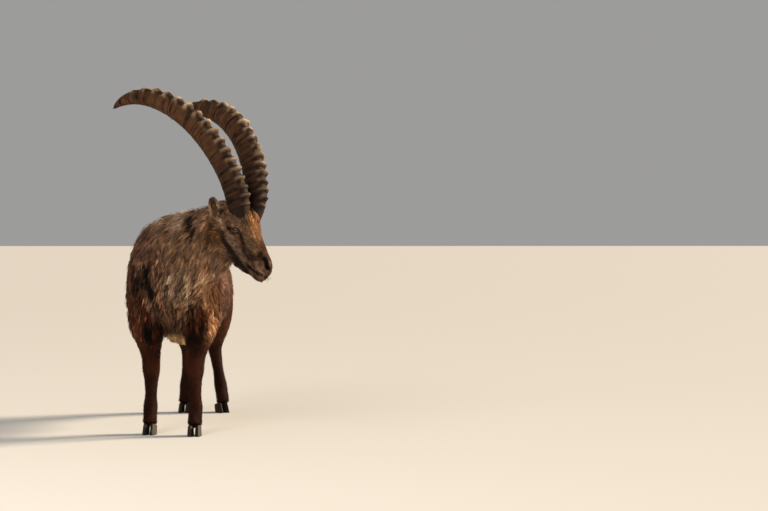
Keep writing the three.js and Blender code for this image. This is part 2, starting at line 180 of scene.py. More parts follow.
def read_rows(rows, t):
    """Rows at row numbers t, on the cubic through each row whose slope is half the step between
    its neighbours."""
    last = len(rows) - 1
    i = np.clip(t.astype(int), 0, last - 1)
    f = (t - i)[:, None]
    a, b = rows[i], rows[i + 1]
    slope_a = (b - rows[np.maximum(i - 1, 0)]) / 2
    slope_b = (rows[np.minimum(i + 2, last)] - a) / 2
    square = 3 * (b - a) - 2 * slope_a - slope_b
    cube = 2 * (a - b) + slope_a + slope_b
    return a + slope_a * f + square * f**2 + cube * f**3


def stations(rows, toward, caps, square=1.0, per_row=5):
    """Stations along a form, per_row to a row: centre, sizes, tangent, side (square to the tangent and
    to the direction toward) and out (square to both). With them go the lengths of the form's two end
    caps and the power that squares its sections."""
    rows = np.array(rows, float)
    t = np.linspace(0, len(rows) - 1, (len(rows) - 1) * per_row + 1)
    last = len(rows) - 1
    centre = read_rows(rows, t)
    ahead = read_rows(rows, np.minimum(t + 0.05, last))[:, :3]
    behind = read_rows(rows, np.maximum(t - 0.05, 0))[:, :3]
    tangent = unit(ahead - behind)
    side = unit(np.cross(toward, tangent))
    return {"centre": centre[:, :3], "sizes": centre[:, 3:], "tangent": tangent, "side": side,
            "out": np.cross(tangent, side), "caps": np.array(caps, float), "square": square}


LEG = {"toward": AHEAD, "caps": (40, 14)}
FORMS = {
    "trunk": stations(trunk_rows, UP, (52, 72), 0.92),
    "neck": stations(NECK_TABLE, UP, (70, 10), per_row=10),
    "fore_leg_left": stations(leg_rows(FORE_TABLE, 1, 0, 500, 0, 60), **LEG),
    "fore_leg_right": stations(leg_rows(FORE_TABLE, -1, 0, 500, 0, 0), **LEG),
    "hind_leg_left": stations(leg_rows(HIND_TABLE, 1, REAR_SHIFT, 300, 52, 0), **LEG),
    "hind_leg_right": stations(leg_rows(HIND_TABLE, -1, REAR_SHIFT, 300, 14, 0), **LEG),
    "tail": stations(tail_rows, UP, (16, 16)),
    "head": stations(head_rows, crownward, (22, 12), 0.9),
    "ear_left": stations(ear_rows(1), noseward, (6, 10)),
    "ear_right": stations(ear_rows(-1), noseward, (6, 10)),
}
NAMES = list(FORMS)
TRUNK, NECK, TAIL, HEAD = [NAMES.index(name) for name in ("trunk", "neck", "tail", "head")]
FORE_LEGS, HIND_LEGS, LEGS, EARS = slice(2, 4), slice(4, 6), slice(2, 6), slice(8, 10)
EAR_FORMS = [FORMS[name] for name in NAMES[EARS]]
SHELL_AROUND = 40
SHELL_CAP_RINGS = 5


def shell(form):
    """Closed surface of a form inside its coat: superellipse sections, its ends rounded over a quarter
    turn. Returns points, and its faces as a grid that closes round and at both poles."""
    turn = np.linspace(0, math.pi / 2, SHELL_CAP_RINGS + 1)[:-1]
    count = len(form["centre"])
    ends = np.zeros(SHELL_CAP_RINGS, int)
    index = np.concatenate([ends, np.arange(count), ends + count - 1])
    shrink = np.concatenate([np.sin(turn), np.ones(count), np.sin(turn)[::-1]])
    coat = form["sizes"][:, 5]
    reach = np.zeros(len(index))
    reach[:SHELL_CAP_RINGS] = -(form["caps"][0] - coat[0]) * np.cos(turn)
    reach[-SHELL_CAP_RINGS:] = (form["caps"][1] - coat[-1]) * np.cos(turn)[::-1]
    middle = form["centre"][index] + form["tangent"][index] * reach[:, None]
    angle = np.linspace(0, 2 * math.pi, SHELL_AROUND, endpoint=False)
    bend = lambda x: np.sign(x) * np.abs(x) ** form["square"]
    up, across = bend(np.cos(angle)), bend(np.sin(angle))
    wide, high, low, narrow_up, narrow_down, depth = form["sizes"][index].T[:, :, None]
    narrow = 1 - np.where(up > 0, narrow_up, narrow_down) * np.abs(up) ** 1.5
    x = across * (wide - depth) * narrow * shrink[:, None]
    y = up * (np.where(up > 0, high, low) - depth) * shrink[:, None]
    side, out = form["side"][index][:, None], form["out"][index][:, None]
    points = middle[:, None] + side * x[..., None] + out * y[..., None]
    grid = np.arange(points.shape[0] * SHELL_AROUND).reshape(-1, SHELL_AROUND)
    ahead, beside = grid[1:], np.roll(grid, -1, 1)
    faces = np.stack([grid[:-1], beside[:-1], np.roll(ahead, -1, 1), ahead], -1).reshape(-1, 4)
    return points.reshape(-1, 3), faces


def near(form, points):
    """Where points lie on a form. A point lies between two stations when it is past the plane of one
    and not of the next; of several such pairs the nearest counts. The sizes there give the
    superellipse, and the distance is measured along the ray from the middle line to the surface.
    Returns distance, station number, angle round it and (side, out) as shares of the sizes."""
    centre, tangent = form["centre"], form["tangent"]
    count = len(centre)
    past = points @ tangent.T - (centre * tangent).sum(1)
    far = (centre**2).sum(1) - 2 * points @ centre.T
    cost = np.full((len(points), count + 1), np.inf)
    cost[:, 0] = np.where(past[:, 0] < 0, far[:, 0], np.inf)
    cost[:, 1:-1] = np.where((past[:, :-1] >= 0) & (past[:, 1:] < 0), far[:, :-1], np.inf)
    cost[:, -1] = np.where(past[:, -1] >= 0, far[:, -1], np.inf)
    chosen = cost.argmin(1)
    low = np.clip(chosen - 1, 0, count - 2)
    each = np.arange(len(points))
    part = past[each, low] / np.maximum(past[each, low] - past[each, low + 1], 1e-9)
    part = np.where(chosen == 0, 0, np.where(chosen == count, 1, np.clip(part, 0, 1)))
    place = low + part
    low = np.minimum(place.astype(int), count - 2)
    part = (place - low)[:, None]
    at = lambda key: form[key][low] * (1 - part) + form[key][low + 1] * part
    offset = points - at("centre")
    side, out, along = at("side"), at("out"), at("tangent")
    x, y, z = (offset * side).sum(1), (offset * out).sum(1), (offset * along).sum(1)
    wide, high, deep, narrow_up, narrow_down, coat = at("sizes").T
    cap = np.where(z < 0, form["caps"][0], form["caps"][1])
    cap = np.maximum(cap - coat, 3)
    z = np.where((place > 0) & (place < count - 1), 0, z)
    tall = np.where(y > 0, high, deep) - coat
    narrowing = np.where(y > 0, narrow_up, narrow_down)
    power = 2 / form["square"]
    reach = np.abs(y) / tall
    share = np.ones(len(points))
    for _ in range(3):
        narrow = 1 - narrowing * np.minimum(reach / share, 1) ** 1.5
        share = (np.abs(x / ((wide - coat) * narrow)) ** power + reach**power) ** (1 / power)
        share = np.maximum(np.sqrt(share**2 + (z / cap) ** 2), 1e-3)
    distance = (1 - 1 / share) * np.sqrt(x**2 + y**2 + z**2)
    return distance, place, np.arctan2(x / wide, y / tall), np.stack([x / (wide - coat), y / tall], 1)


def merge(first, second, width):
    """Smooth least of two distances: their least, less the square of how far they overlap over four
    times the width."""
    overlap = np.maximum(width - np.abs(first - second), 0)
    return np.minimum(first, second) - overlap**2 / (4 * width)


def surface_distance(points):
    """Distance from the whole skin: the forms' own distances, run together with soft joins."""
    apart = {name: near(form, points)[0] for name, form in FORMS.items()}
    body = apart["trunk"]
    for name in ("neck", "fore_leg_left", "fore_leg_right", "hind_leg_left", "hind_leg_right"):
        body = merge(body, apart[name], 44)
    body = merge(body, apart["tail"], 20)
    head = merge(merge(apart["head"], apart["ear_left"], 9), apart["ear_right"], 9)
    return merge(body, head, 34)


# The skin. One hide over all the flesh, with no seam. It is remeshed from the joined forms,
# drawn onto their soft union, and worked finer on the head, where brow, cheek, muzzle, lips
# and nostrils are modelled into it.
def in_scene(name, data):
    """A new object of the scene, unmoved."""
    made = bpy.data.objects.new(name, data)
    bpy.context.scene.collection.objects.link(made)
    return made


def mesh_object(name, points, corners, sizes, material=None):
    """Object from points in millimetres of the body's frame, all faces' corners in one row, and each
    face's number of corners. Its place is in its mesh."""
    mesh = bpy.data.meshes.new(name)
    mesh.vertices.add(len(points))
    mesh.vertices.foreach_set("co", ((points + TO_FRAME) * MM).astype(np.float32).ravel())
    mesh.loops.add(len(corners))
    mesh.loops.foreach_set("vertex_index", np.asarray(corners, np.int32))
    mesh.polygons.add(len(sizes))
    mesh.polygons.foreach_set("loop_start", (np.cumsum(sizes) - sizes).astype(np.int32))
    mesh.polygons.foreach_set("use_smooth", np.ones(len(sizes), bool))
    mesh.update(calc_edges=True)
    if material:
        mesh.materials.append(material)
    return in_scene(name, mesh)


def all_points(mesh):
    """The mesh's points, back in millimetres of the body's frame."""
    found = np.empty(len(mesh.vertices) * 3, np.float32)
    mesh.vertices.foreach_get("co", found)
    return found.reshape(-1, 3).astype(float) / MM - TO_FRAME


VOXEL = 6.8
shells = [shell(form) for form in FORMS.values()]
starts = np.cumsum([0] + [len(points) for points, _ in shells])
faces = np.concatenate([face + start for (_, face), start in zip(shells, starts)])
points = np.concatenate([points for points, _ in shells])
rough = mesh_object("rough", points, faces.ravel(), np.full(len(faces), 4))
welding = rough.modifiers.new("weld", "WELD")
welding.merge_threshold = 0.05 * MM
remesh = rough.modifiers.new("remesh", "REMESH")
remesh.mode = "VOXEL"
remesh.voxel_size = VOXEL * MM
hide = bpy.data.meshes.new_from_object(rough.evaluated_get(bpy.context.evaluated_depsgraph_get()))
bpy.data.objects.remove(rough)


def finer(mesh, wanted):
    """Cuts in half each edge whose two ends pass a test on points."""
    flags = wanted(all_points(mesh))
    work = bmesh.new()
    work.from_mesh(mesh)
    edges = [edge for edge in work.edges if all(flags[end.index] for end in edge.verts)]
    bmesh.ops.subdivide_edges(work, edges=edges, cuts=1, use_grid_fill=True)
    work.to_mesh(mesh)
    work.free()


def on_face(points):
    """Head and ears, short of the neck."""
    along, up, left = head_places(points).T
    ears = np.minimum(*[near(form, points)[0] for form in EAR_FORMS]) < 14
    return ((along > -6.5) & (along < 26) & (up > -21) & (np.abs(left) < 9) & (up < 5)) | ears


def on_features(points):
    """Round the eyes, and the muzzle with its nostrils and mouth."""
    along, up, left = head_places(points).T
    eye = (along - EYE[0]) ** 2 + (up - EYE[1]) ** 2 < 3.1**2
    return on_face(points) & ((eye & (np.abs(left) > 3)) | ((along > 14.6) & (along < 25)))


finer(hide, on_face)
finer(hide, on_features)
work = bmesh.new()
work.from_mesh(hide)
bmesh.ops.triangulate(work, faces=work.faces[:])
work.to_mesh(hide)
work.free()
skin = all_points(hide)
triangles = np.empty(len(hide.polygons) * 3, np.int32)
hide.polygons.foreach_get("vertices", triangles)
triangles = triangles.reshape(-1, 3)
edges = np.empty(len(hide.edges) * 2, np.int32)
hide.edges.foreach_get("vertices", edges)
edges = edges.reshape(-1, 2)


def gathered(index, values, count):
    """Sum of values, row by row, at each index."""
    return np.stack([np.bincount(index, column, count) for column in values.T], 1)


def relaxed(points, share):
    """Each point moved a share of the way to the mean of its neighbours."""
    total = gathered(edges[:, 0], points[edges[:, 1]], len(points))
    total += gathered(edges[:, 1], points[edges[:, 0]], len(points))
    count = np.bincount(edges.ravel(), minlength=len(points))[:, None]
    return points + share * (total / count - points)


def normals_of(points):
    """Unit normals: the sum of each point's faces, by area."""
    a, b, c = points[triangles.T]
    face = np.cross(b - a, c - a)
    return unit(sum(gathered(triangles[:, k], face, len(points)) for k in range(3)))


for _ in range(10):
    skin = relaxed(skin, 0.5)
for _ in range(4):
    skin = skin - normals_of(skin) * np.clip(surface_distance(skin), -12, 12)[:, None]
    skin = relaxed(skin, 0.25)
skin = skin - normals_of(skin) * surface_distance(skin)[:, None]

# Soft swellings and hollows of the face: along, up, left, their three radii, and the height
FACE_DABS = np.array([
    (1.2, -2.7, 5.8, 2.8, 1.0, 1.6, 0.45), (-1.2, -5.4, 6.4, 1.0, 2.0, 1.4, 0.20),
    (3.2, -7.6, 5.4, 3.0, 0.9, 1.6, 0.32), (8.0, -8.9, 3.8, 3.4, 0.9, 1.4, 0.22),
    (-3.6, -5.6, 6.8, 1.9, 1.6, 1.6, -0.25), (1.0, -10.8, 5.2, 3.2, 3.0, 2.6, 0.40),
    (9.6, -11.0, 3.3, 2.6, 1.9, 1.8, -0.35), (6.6, -5.2, 4.3, 1.7, 1.3, 1.4, -0.34),
    (9.5, -0.5, 0.0, 4.5, 1.2, 1.7, 0.14), (18.9, -2.4, 1.6, 1.3, 0.9, 1.0, 0.26),
    (18.3, -4.2, 2.6, 1.1, 0.9, 1.0, 0.36), (19.9, -5.9, 2.2, 1.9, 1.1, 1.4, 0.30),
    (18.4, -10.1, 0.0, 1.9, 1.3, 2.2, 0.34), (13.6, -6.6, 3.3, 2.0, 1.6, 1.4, -0.14),
    (5.2, 0.0, 0.0, 2.0, 1.0, 2.4, -0.10), (6.0, -15.2, 2.0, 3.0, 1.4, 1.4, 0.18),
    (12.0, -13.6, 0.0, 4.5, 1.2, 1.4, 0.20), (0.4, 0.4, 3.2, 2.2, 1.4, 2.2, 0.35),
])
# Folds of the face: the path in along, up, left, its half width and its depth
FACE_FOLDS = {
    "mouth": ([(15.2, -9.8, 2.4), (17.4, -8.8, 2.8), (19.4, -7.7, 2.6), (21.2, -7.0, 1.8),
               (22.4, -6.6, 0)], 0.30, 0.72),
    "nostril": ([(17.9, -2.6, 1.9), (18.9, -2.5, 1.75), (20.1, -2.9, 1.5), (21.0, -3.7, 1.0)],
                0.44, 1.0),
    "nostril_wing": ([(16.3, -2.6, 2.1), (16.8, -3.9, 2.7), (17.8, -5.3, 2.9), (19.6, -5.5, 2.6)],
                     0.28, 0.18),
    "tear": ([(4.6, -3.9, 5.0), (7.2, -5.0, 4.3), (10.2, -6.8, 3.7)], 0.45, 0.20),
    "lip": ([(21.6, -4.0, 0), (22.4, -6.4, 0)], 0.16, 0.20),
    "chin": ([(16.0, -10.5, 1.9), (18.3, -9.3, 2.2), (20.6, -8.5, 1.0), (21.2, -8.4, 0)], 0.4, 0.12),
}


def path_distance(points, path):
    """Least distance from points to a path of straight stretches."""
    least = np.full(len(points), np.inf)
    for a, b in zip(np.array(path[:-1], float), np.array(path[1:], float)):
        share = np.clip((points - a) @ (b - a) / ((b - a) @ (b - a)), 0, 1)[:, None]
        least = np.minimum(least, np.linalg.norm(points - a - share * (b - a), axis=1))
    return least


def face_relief(points):
    """Height of the face's modelling over the plain head, in its centimetres: bell-shaped dabs, less
    bell-shaped folds."""
    places = head_places(points)
    places[:, 2] = np.abs(places[:, 2])
    height = np.zeros(len(points))
    for *centre, rx, ry, rz, rise in FACE_DABS:
        height += rise * np.exp(-(((places - centre) / (rx, ry, rz)) ** 2).sum(1))
    for path, half, depth in FACE_FOLDS.values():
        height -= depth * np.exp(-((path_distance(places, path) / half) ** 2))
    return height


# Eye openings: x runs to the front corner, y up across the lids, z out along the gaze
EYE_RADIUS = 1.6
LID_LONG = 1.50
LID_HIGH = 0.74
LID_ALMOND = 0.4
LID_AROUND = 56
AROUND_EYE = 2.6
gaze = unit(np.array([0.20, 0.16, 1.0]))
fissure = np.array([0.80, 0.60, 0.0])
fissure = unit(fissure - gaze * (fissure @ gaze))
EYE_AXES = np.array([fissure, unit(np.cross(gaze, fissure)), gaze])


def eye_places(points):
    """Places round the nearer eye, in the head's centimetres along the opening's own axes."""
    places = head_places(points)
    places[:, 2] = np.abs(places[:, 2])
    return (places - EYE) @ EYE_AXES.T


def lid_share(x, y):
    """1 on the edge of the almond opening and larger outside it: an ellipse whose height shrinks by
    the root of 1 less a share of the length squared."""
    along = (x / LID_LONG) ** 2
    tall = LID_HIGH * np.sqrt(np.clip(1 - LID_ALMOND * along, 0.1, 1))
    return np.sqrt(along + (y / tall) ** 2)


def ease(value, start, end):
    """0 before start, 1 after end, smooth between."""
    share = np.clip((value - start) / (end - start), 0, 1)
    return share * share * (3 - 2 * share)


def ear_hollow(points, form):
    """How far the front of an ear is scooped: deepest on its middle line, nothing at rim or back."""
    distance, place, _, shares = near(form, points)
    across, front = shares.T
    share = place / (len(form["centre"]) - 1)
    total = 2 * EAR_THICK * (1.5 - 0.9 * share) - 2 * SKIN_OF_EAR
    scoop = (total - 4) * np.clip(1 - np.abs(across) ** 2.2, 0, 1) * ease(front, -0.25, 0.5)
    return scoop * (distance < 8) * ease(share, 0.05, 0.25) * (1 - ease(share, 0.9, 1.0))


normals = normals_of(skin)
face = on_face(skin)
skin[face] += normals[face] * (HEAD_SCALE * face_relief(skin[face]))[:, None]
for form in EAR_FORMS:
    middle = len(form["centre"]) // 2
    skin -= form["out"][middle] * ear_hollow(skin, form)[:, None]
covering = BVHTree.FromPolygons(skin.tolist(), triangles.tolist())
socket = eye_places(skin)
from_eye = np.linalg.norm(socket, axis=1)
round_eye = (from_eye < 3.2) & (socket[:, 2] > 0)
opening = lid_share(socket[:, 0], socket[:, 1])
share = (1 - ease(opening, 1.35, 1.95)) * round_eye
inward = socket * (np.minimum((EYE_RADIUS - 0.45) / from_eye, 1) - 1)[:, None] * share[:, None]
moved = (inward @ EYE_AXES) * HEAD_SCALE
moved[:, 2] *= np.sign(head_places(skin)[:, 2])
skin += moved @ HEAD_AXES

# Section of a lid: how far out from the opening's edge, its rise over the ball, its share of the face
LID_SECTION = [
    (0.94, -0.12, 0), (0.99, 0.02, 0), (1.03, 0.11, 0), (1.12, 0.17, 0.02), (1.24, 0.17, 0.10),
    (1.38, 0.10, 0.26), (1.52, 0.10, 0.50), (1.70, 0.10, 0.78), (1.88, 0.07, 0.96), (2.06, 0.03, 1),
    (2.25, -0.14, 1),
]


def lid(hand):
    """Both lids of an eye: the almond edge carried out through the section, from the ball to the face
    around it, whose height is read by rays along the gaze and smoothed round the opening."""
    angle = np.linspace(0, 2 * math.pi, LID_AROUND, endpoint=False)
    tall = LID_HIGH * np.sqrt(1 - LID_ALMOND * np.cos(angle) ** 2)
    rim = np.stack([LID_LONG * np.cos(angle), tall * np.sin(angle)], 1)
    axes = (EYE_AXES * (1, 1, hand)) @ HEAD_AXES
    centre = on_head(EYE * (1, 1, hand))
    face_height = []
    for x, y in rim * 2.1:
        origin = centre + HEAD_SCALE * (np.array([x, y, 5.0]) @ axes)
        hit = covering.ray_cast(origin, -axes[2], 100)[0]
        face_height.append((np.array(hit) - centre) @ axes[2] / HEAD_SCALE if hit else 0.4)
    face_height = np.array(face_height)
    for _ in range(6):
        face_height = (np.roll(face_height, 1) + 2 * face_height + np.roll(face_height, -1)) / 4
    rings = []
    for out, rise, mixed in LID_SECTION:
        flat = np.linalg.norm(rim * min(out, 1.2), axis=1)
        ball = np.sqrt(np.maximum(EYE_RADIUS**2 - flat**2, 0.25))
        height = ball * (1 - mixed) + face_height * mixed + rise
        rings.append(np.column_stack([rim * out, height]))
    points = centre + HEAD_SCALE * (np.array(rings).reshape(-1, 3) @ axes)
    grid = np.arange(len(points)).reshape(-1, LID_AROUND)
    beside = np.roll(grid, -1, 1)
    quads = np.stack([grid[:-1], grid[1:], beside[1:], beside[:-1]], -1).reshape(-1, 4)
    if hand < 0:
        quads = quads[:, ::-1]
    return points, np.concatenate([quads[:, [0, 1, 2]], quads[:, [0, 2, 3]]])


for hand in (1, -1):
    points, corners = lid(hand)
    triangles = np.concatenate([triangles, corners + len(skin)])
    skin = np.concatenate([skin, points])
normals = normals_of(skin)
skin_parts = [near(form, skin) for form in FORMS.values()]

# Its colours. Faded winter hair over the neck and withers, fresh brown summer hair elsewhere,
# dark patches where it is half moulted, dark stockings and muzzle, cream under the belly; and
# painted shade in the armpits, under the jaw, in nostrils and mouth and deep in the coat, with
# painted warm light on the left shoulder.
def to_linear(code):
    """Linear colour of an sRGB hex value."""
    value = np.array([int(code[i:i + 2], 16) for i in (1, 3, 5)]) / 255
    return np.where(value <= 0.04045, value / 12.92, ((value + 0.055) / 1.055) ** 2.4)


def lattice(cells, seed):
    """A seeded number from 0 to 1 for each cell of whole numbers: the cell's numbers and the seed, each
    times a large odd number, are laid over each other bit by bit and stirred twice."""
    x, y, z = np.moveaxis(cells, -1, 0)
    mixed = (x * 73856093) ^ (y * 19349663) ^ (z * 83492791) ^ (seed * 40503)
    mixed = ((mixed ^ (mixed >> 13)) * 1274126177) & 0xFFFFFFFF
    mixed = ((mixed ^ (mixed >> 15)) * 668265263) & 0xFFFFFFFF
    return ((mixed ^ (mixed >> 16)) & 0xFFFFFF) / 0xFFFFFF


def noise(points, size, seed):
    """Smooth noise from 0 to 1: the cell numbers at the eight corners around a point, eased between."""
    place = points / size
    low = np.floor(place).astype(np.int64)
    part = place - low
    part = part * part * (3 - 2 * part)
    total = np.zeros(len(points))
    for corner in np.ndindex(2, 2, 2):
        weight = np.where(np.array(corner) == 1, part, 1 - part).prod(1)
        total += weight * lattice(low + corner, seed)
    return total


# The plain colour of each form
FORM_COLOURS = {
    "trunk": "#765543", "neck": "#906c52", "fore_leg_left": "#5c341f", "fore_leg_right": "#5c341f",
    "hind_leg_left": "#6b4226", "hind_leg_right": "#6b4226", "tail": "#412616", "head": "#7d5d45",
    "ear_left": "#835f43", "ear_right": "#835f43",
}
# Patches on the body, markings and painted light: place, three radii, colour, strength
BODY_MARKINGS_AND_PAINTED_LIGHT = [
    ((20, 300, 925), (90, 420, 60), "#623f27", 0.75), ((20, 290, 378), (120, 330, 105), "#c7a072", 1.0),
    ((20, 560, 420), (110, 160, 110), "#c29769", 0.8), ((84, -165, 924), (50, 70, 44), "#b89b82", 0.9),
    ((-5, -68, 920), (64, 76, 44), "#ab8b70", 0.9), ((-20, 60, 945), (90, 110, 50), "#9a7d66", 0.8),
    ((108, -228, 922), (30, 44, 44), "#24150d", 0.98),
    ((116, -254, 880), (24, 40, 40), "#2a1a11", 0.95),
    ((60, -120, 760), (120, 130, 130), "#977457", 0.5),
    ((-90, -135, 652), (30, 60, 84), "#170e0a", 0.98), ((-92, -140, 712), (22, 50, 40), "#2a1a12", 0.9),
    ((-138, -66, 678), (28, 50, 84), "#22150e", 0.95), ((-160, -40, 550), (34, 60, 60), "#432818", 0.8),
    # Painted shade: the near-black patches in both armpits and the dark one below the left armpit.
    # Painted warm light: the two golden patches on the left shoulder and the lower left of the neck.
    ((-86, -28, 444), (56, 80, 60), "#080302", 0.99), ((84, -34, 456), (40, 70, 88), "#100704", 0.98),
    ((90, -38, 372), (36, 60, 50), "#24120a", 0.85), ((166, -45, 520), (38, 80, 140), "#dba275", 0.95),
    ((168, -190, 650), (44, 90, 90), "#dca679", 0.92), ((22, -170, 632), (54, 60, 84), "#d0ab8d", 0.94),
    ((75, -195, 680), (56, 60, 64), "#c6a183", 0.85), ((10, -120, 560), (50, 60, 60), "#755037", 0.8),
    ((5, -10, 475), (60, 70, 50), "#6b4a34", 0.9), ((5, 40, 405), (52, 90, 34), "#c3a279", 0.95),
    ((180, 60, 640), (60, 110, 120), "#65422b", 0.6), ((-150, 60, 640), (60, 110, 120), "#603e28", 0.6),
    ((170, 350, 560), (60, 260, 60), "#52321f", 0.6), ((-140, 350, 560), (60, 260, 60), "#52321f", 0.6),
    ((42, 905, 700), (60, 60, 90), "#bd9e77", 0.9), ((206, -299, 855), (60, 70, 60), "#63401f", 0.85),
]
# Head patches and painted shade, the same on both sides: (along, up, left), three radii, colour,
# strength
HEAD_MARKINGS_AND_PAINTED_SHADE = [
    ((1, 0.8, 0), (5.0, 1.9, 2.8), "#a57245", 0.9), ((6.5, -0.8, 0), (5, 1.5, 2.2), "#9f7048", 0.9),
    ((10.4, -1.5, 1.4), (3.4, 1.4, 1.6), "#95704a", 0.85),
    ((13.5, -1.5, 0), (3.4, 1.2, 1.5), "#5b3a22", 0.9),
    ((15.4, -3.0, 2.2), (1.3, 1.3, 1.6), "#2c1b12", 0.95),
    ((17.6, -1.6, 0.5), (1.9, 0.9, 1.4), "#4a3122", 0.8),
    ((0.4, -3.0, 5.4), (3.2, 1.5, 2.2), "#82634b", 0.9),
    ((3.8, -8.6, 4.8), (3.4, 2.0, 2.4), "#8a6f5c", 1.0),
    ((9.4, -9.9, 3.4), (4.2, 1.5, 2.4), "#80675a", 0.95),
    ((10, -3.8, 3.2), (3.2, 1.7, 1.8), "#7c5f46", 0.9),
    ((14.6, -10.6, 2.4), (2.4, 1.5, 2.0), "#3a2a20", 0.85),
    ((18.2, -4.4, 2.5), (1.5, 1.2, 1.4), "#54402f", 0.9),
    ((20.8, -5.6, 0.8), (1.4, 1.2, 1.6), "#3a2b21", 0.9),
    ((19.0, -9.9, 0), (3.2, 1.5, 3.0), "#3a3025", 0.97),
    ((21.4, -4.6, 0), (1.3, 1.4, 1.0), "#33261e", 0.9),
    ((20.3, -6.1, 2.2), (2.2, 0.55, 1.3), "#8b7462", 0.9),
    # The next two patches darken the underside of the jaw: dark beard hair, with painted shade under
    # the jaw.
    ((15.0, -12.4, 0), (3.0, 1.5, 2.2), "#301d11", 1.0),
    ((8.5, -14.2, 0), (5.0, 1.7, 3.0), "#2c190e", 1.0),
    ((-3.6, -8.2, 6.8), (2.2, 2.0, 2.0), "#9a7d64", 0.9),
    ((-6.2, -4.6, 6.6), (1.2, 1.9, 1.6), "#2c1e16", 0.9),
]
# Dark streaks on the head, markings and painted shade: the path, its half width, colour and strength
HEAD_STREAKS_AND_PAINTED_SHADE = [
    ([(3.8, -3.8, 5.3), (5.6, -4.4, 4.8), (7.6, -5.6, 4.2)], 0.75, "#2b1a10", 0.92),
    ([(7.6, -5.6, 4.2), (9.9, -6.8, 3.6)], 1.1, "#33211a", 0.75),
    ([(9.4, -6.6, 3.8), (11.4, -7.0, 3.5), (13.6, -6.5, 3.1)], 1.9, "#3a2820", 0.72),
    # The next two streaks run along the jaw's lower edge: dark beard hair, with painted shade under the
    # jaw.
    ([(-1.0, -9.8, 5.9), (1.4, -12.0, 4.6)], 1.0, "#2b1a10", 0.8),
    ([(1.4, -12.0, 4.6), (5.6, -12.8, 3.3), (9.8, -13.2, 2.2), (14.7, -12.8, 1.2)],
     1.65, "#23140c", 0.97),
    ([(13.4, -7.2, 3.1), (15.4, -4.8, 2.9), (16.8, -3.0, 2.2)], 1.3, "#2f1c10", 0.8),
    ([(13.6, -7.2, 3.1), (15.8, -7.6, 3.1), (17.4, -8.0, 2.9)], 0.7, "#3e2719", 0.8),
    # The near-black streaks along the nostrils and the mouth are painted shade in their openings.
    ([(17.9, -2.3, 1.8), (19.0, -2.4, 1.7), (20.2, -2.9, 1.5), (21.1, -3.7, 1.0)],
     1.15, "#100906", 1.0),
    ([(14.6, -10.3, 2.4), (17.4, -9.1, 2.7), (19.6, -8.1, 2.4), (22.4, -7.0, 0)],
     0.72, "#110906", 0.97),
    ([(-0.2, -6.6, 6.4), (2.0, -3.9, 6.4), (4.4, -3.5, 5.5), (5.4, -2.6, 4.8)], 0.62, "#1f120b", 0.95),
    ([(-0.2, -6.6, 6.4), (2.6, -6.1, 6.1), (4.2, -4.2, 5.5)], 0.42, "#1f120b", 0.9),
]


BLEND_WIDTH = 11.0
LEG_RED, LEG_RED_STREAK, LEG_DARK = "#38180b", "#5a2c16", "#2a1008"


def form_weights(distances):
    """How much each form counts at a point: it falls off as a power of e with the distance by which the
    form is farther than the nearest one."""
    weight = np.exp(-(distances - distances.min(1, keepdims=True)) / BLEND_WIDTH)
    return weight / weight.sum(1, keepdims=True)


def laid_over(colour, code, share):
    """A colour with a share of another laid over it: colour * (1 - share) + other * share."""
    share = share[..., None]
    return colour * (1 - share) + to_linear(code) * share


def coat_colour(points, weights):
    """Colour of the coat at points: the forms' plain colours, mottled, with the patches laid over them
    in turn. A patch is a bell over its radii, cut to a soft edge that noise breaks up."""
    plain = np.array([to_linear(FORM_COLOURS[name]) for name in NAMES])
    tint = weights.copy()
    shared = np.minimum(weights[:, TRUNK], weights[:, NECK])
    ragged = ease(shared + 0.25 * (noise(points, 40, 2) - 0.5), 0.1, 0.4)
    tint[:, TRUNK] += ragged * (noise(points * (1, 1, 0.4), 30, 1) - 0.5) * weights[:, NECK]
    high = 0.75 * ease(points[:, 2] + 60 * (noise(points, 60, 15) - 0.5), 520, 680)[:, None]
    tint[:, TRUNK] += (tint[:, LEGS] * high).sum(1)
    tint[:, LEGS] *= 1 - high
    tint /= tint.sum(1, keepdims=True)
    colour = tint @ plain
    warp = np.stack([noise(points * (1, 1, 0.45), 34, seed) for seed in (3, 4, 5)], 1) - 0.5
    fine = np.stack([noise(points * (1, 1, 0.5), 13, seed) for seed in (6, 7, 8)], 1) - 0.5
    moved = points + warp * 46 + fine * 18
    for place, radii, code, strength in BODY_MARKINGS_AND_PAINTED_LIGHT:
        near_it = np.exp(-(((moved - place) / radii) ** 2).sum(1) * 1.1)
        colour = laid_over(colour, code, strength * ease(near_it, 0.18, 0.62))
    legs = weights[:, LEGS].sum(1)
    colour = laid_over(colour, LEG_RED, legs * (1 - ease(points[:, 2] + warp[:, 0] * 60, 300, 430)))
    streaks = ease(noise(points * (1, 1, 0.35), 26, 14), 0.45, 0.75)
    colour = laid_over(colour, LEG_RED_STREAK, legs * streaks * 0.55)
    colour = laid_over(colour, LEG_DARK, legs * (1 - ease(points[:, 2], 150, 260)) * 0.5)
    on_it = np.flatnonzero(weights[:, HEAD] > 0.15)
    places = head_places(points[on_it] + warp[on_it] * 9 + fine[on_it] * 5)
    places[:, 2] = np.abs(places[:, 2])
    shown = colour[on_it]
    amount = ease(weights[on_it, HEAD], 0.15, 0.6)
    for place, radii, code, strength in HEAD_MARKINGS_AND_PAINTED_SHADE:
        near_it = np.exp(-(((places - place) / radii) ** 2).sum(1))
        shown = laid_over(shown, code, strength * ease(near_it, 0.15, 0.7) * amount)
    for path, half, code, strength in HEAD_STREAKS_AND_PAINTED_SHADE:
        near_it = np.exp(-((path_distance(places, path) / half) ** 2))
        shown = laid_over(shown, code, strength * ease(near_it, 0.15, 0.75) * amount)
    colour[on_it] = shown
    mottled = 1 + 0.30 * (noise(points, 75, 11) - 0.5) + 0.26 * (noise(points, 22, 12) - 0.5)
    return colour * mottled[:, None]


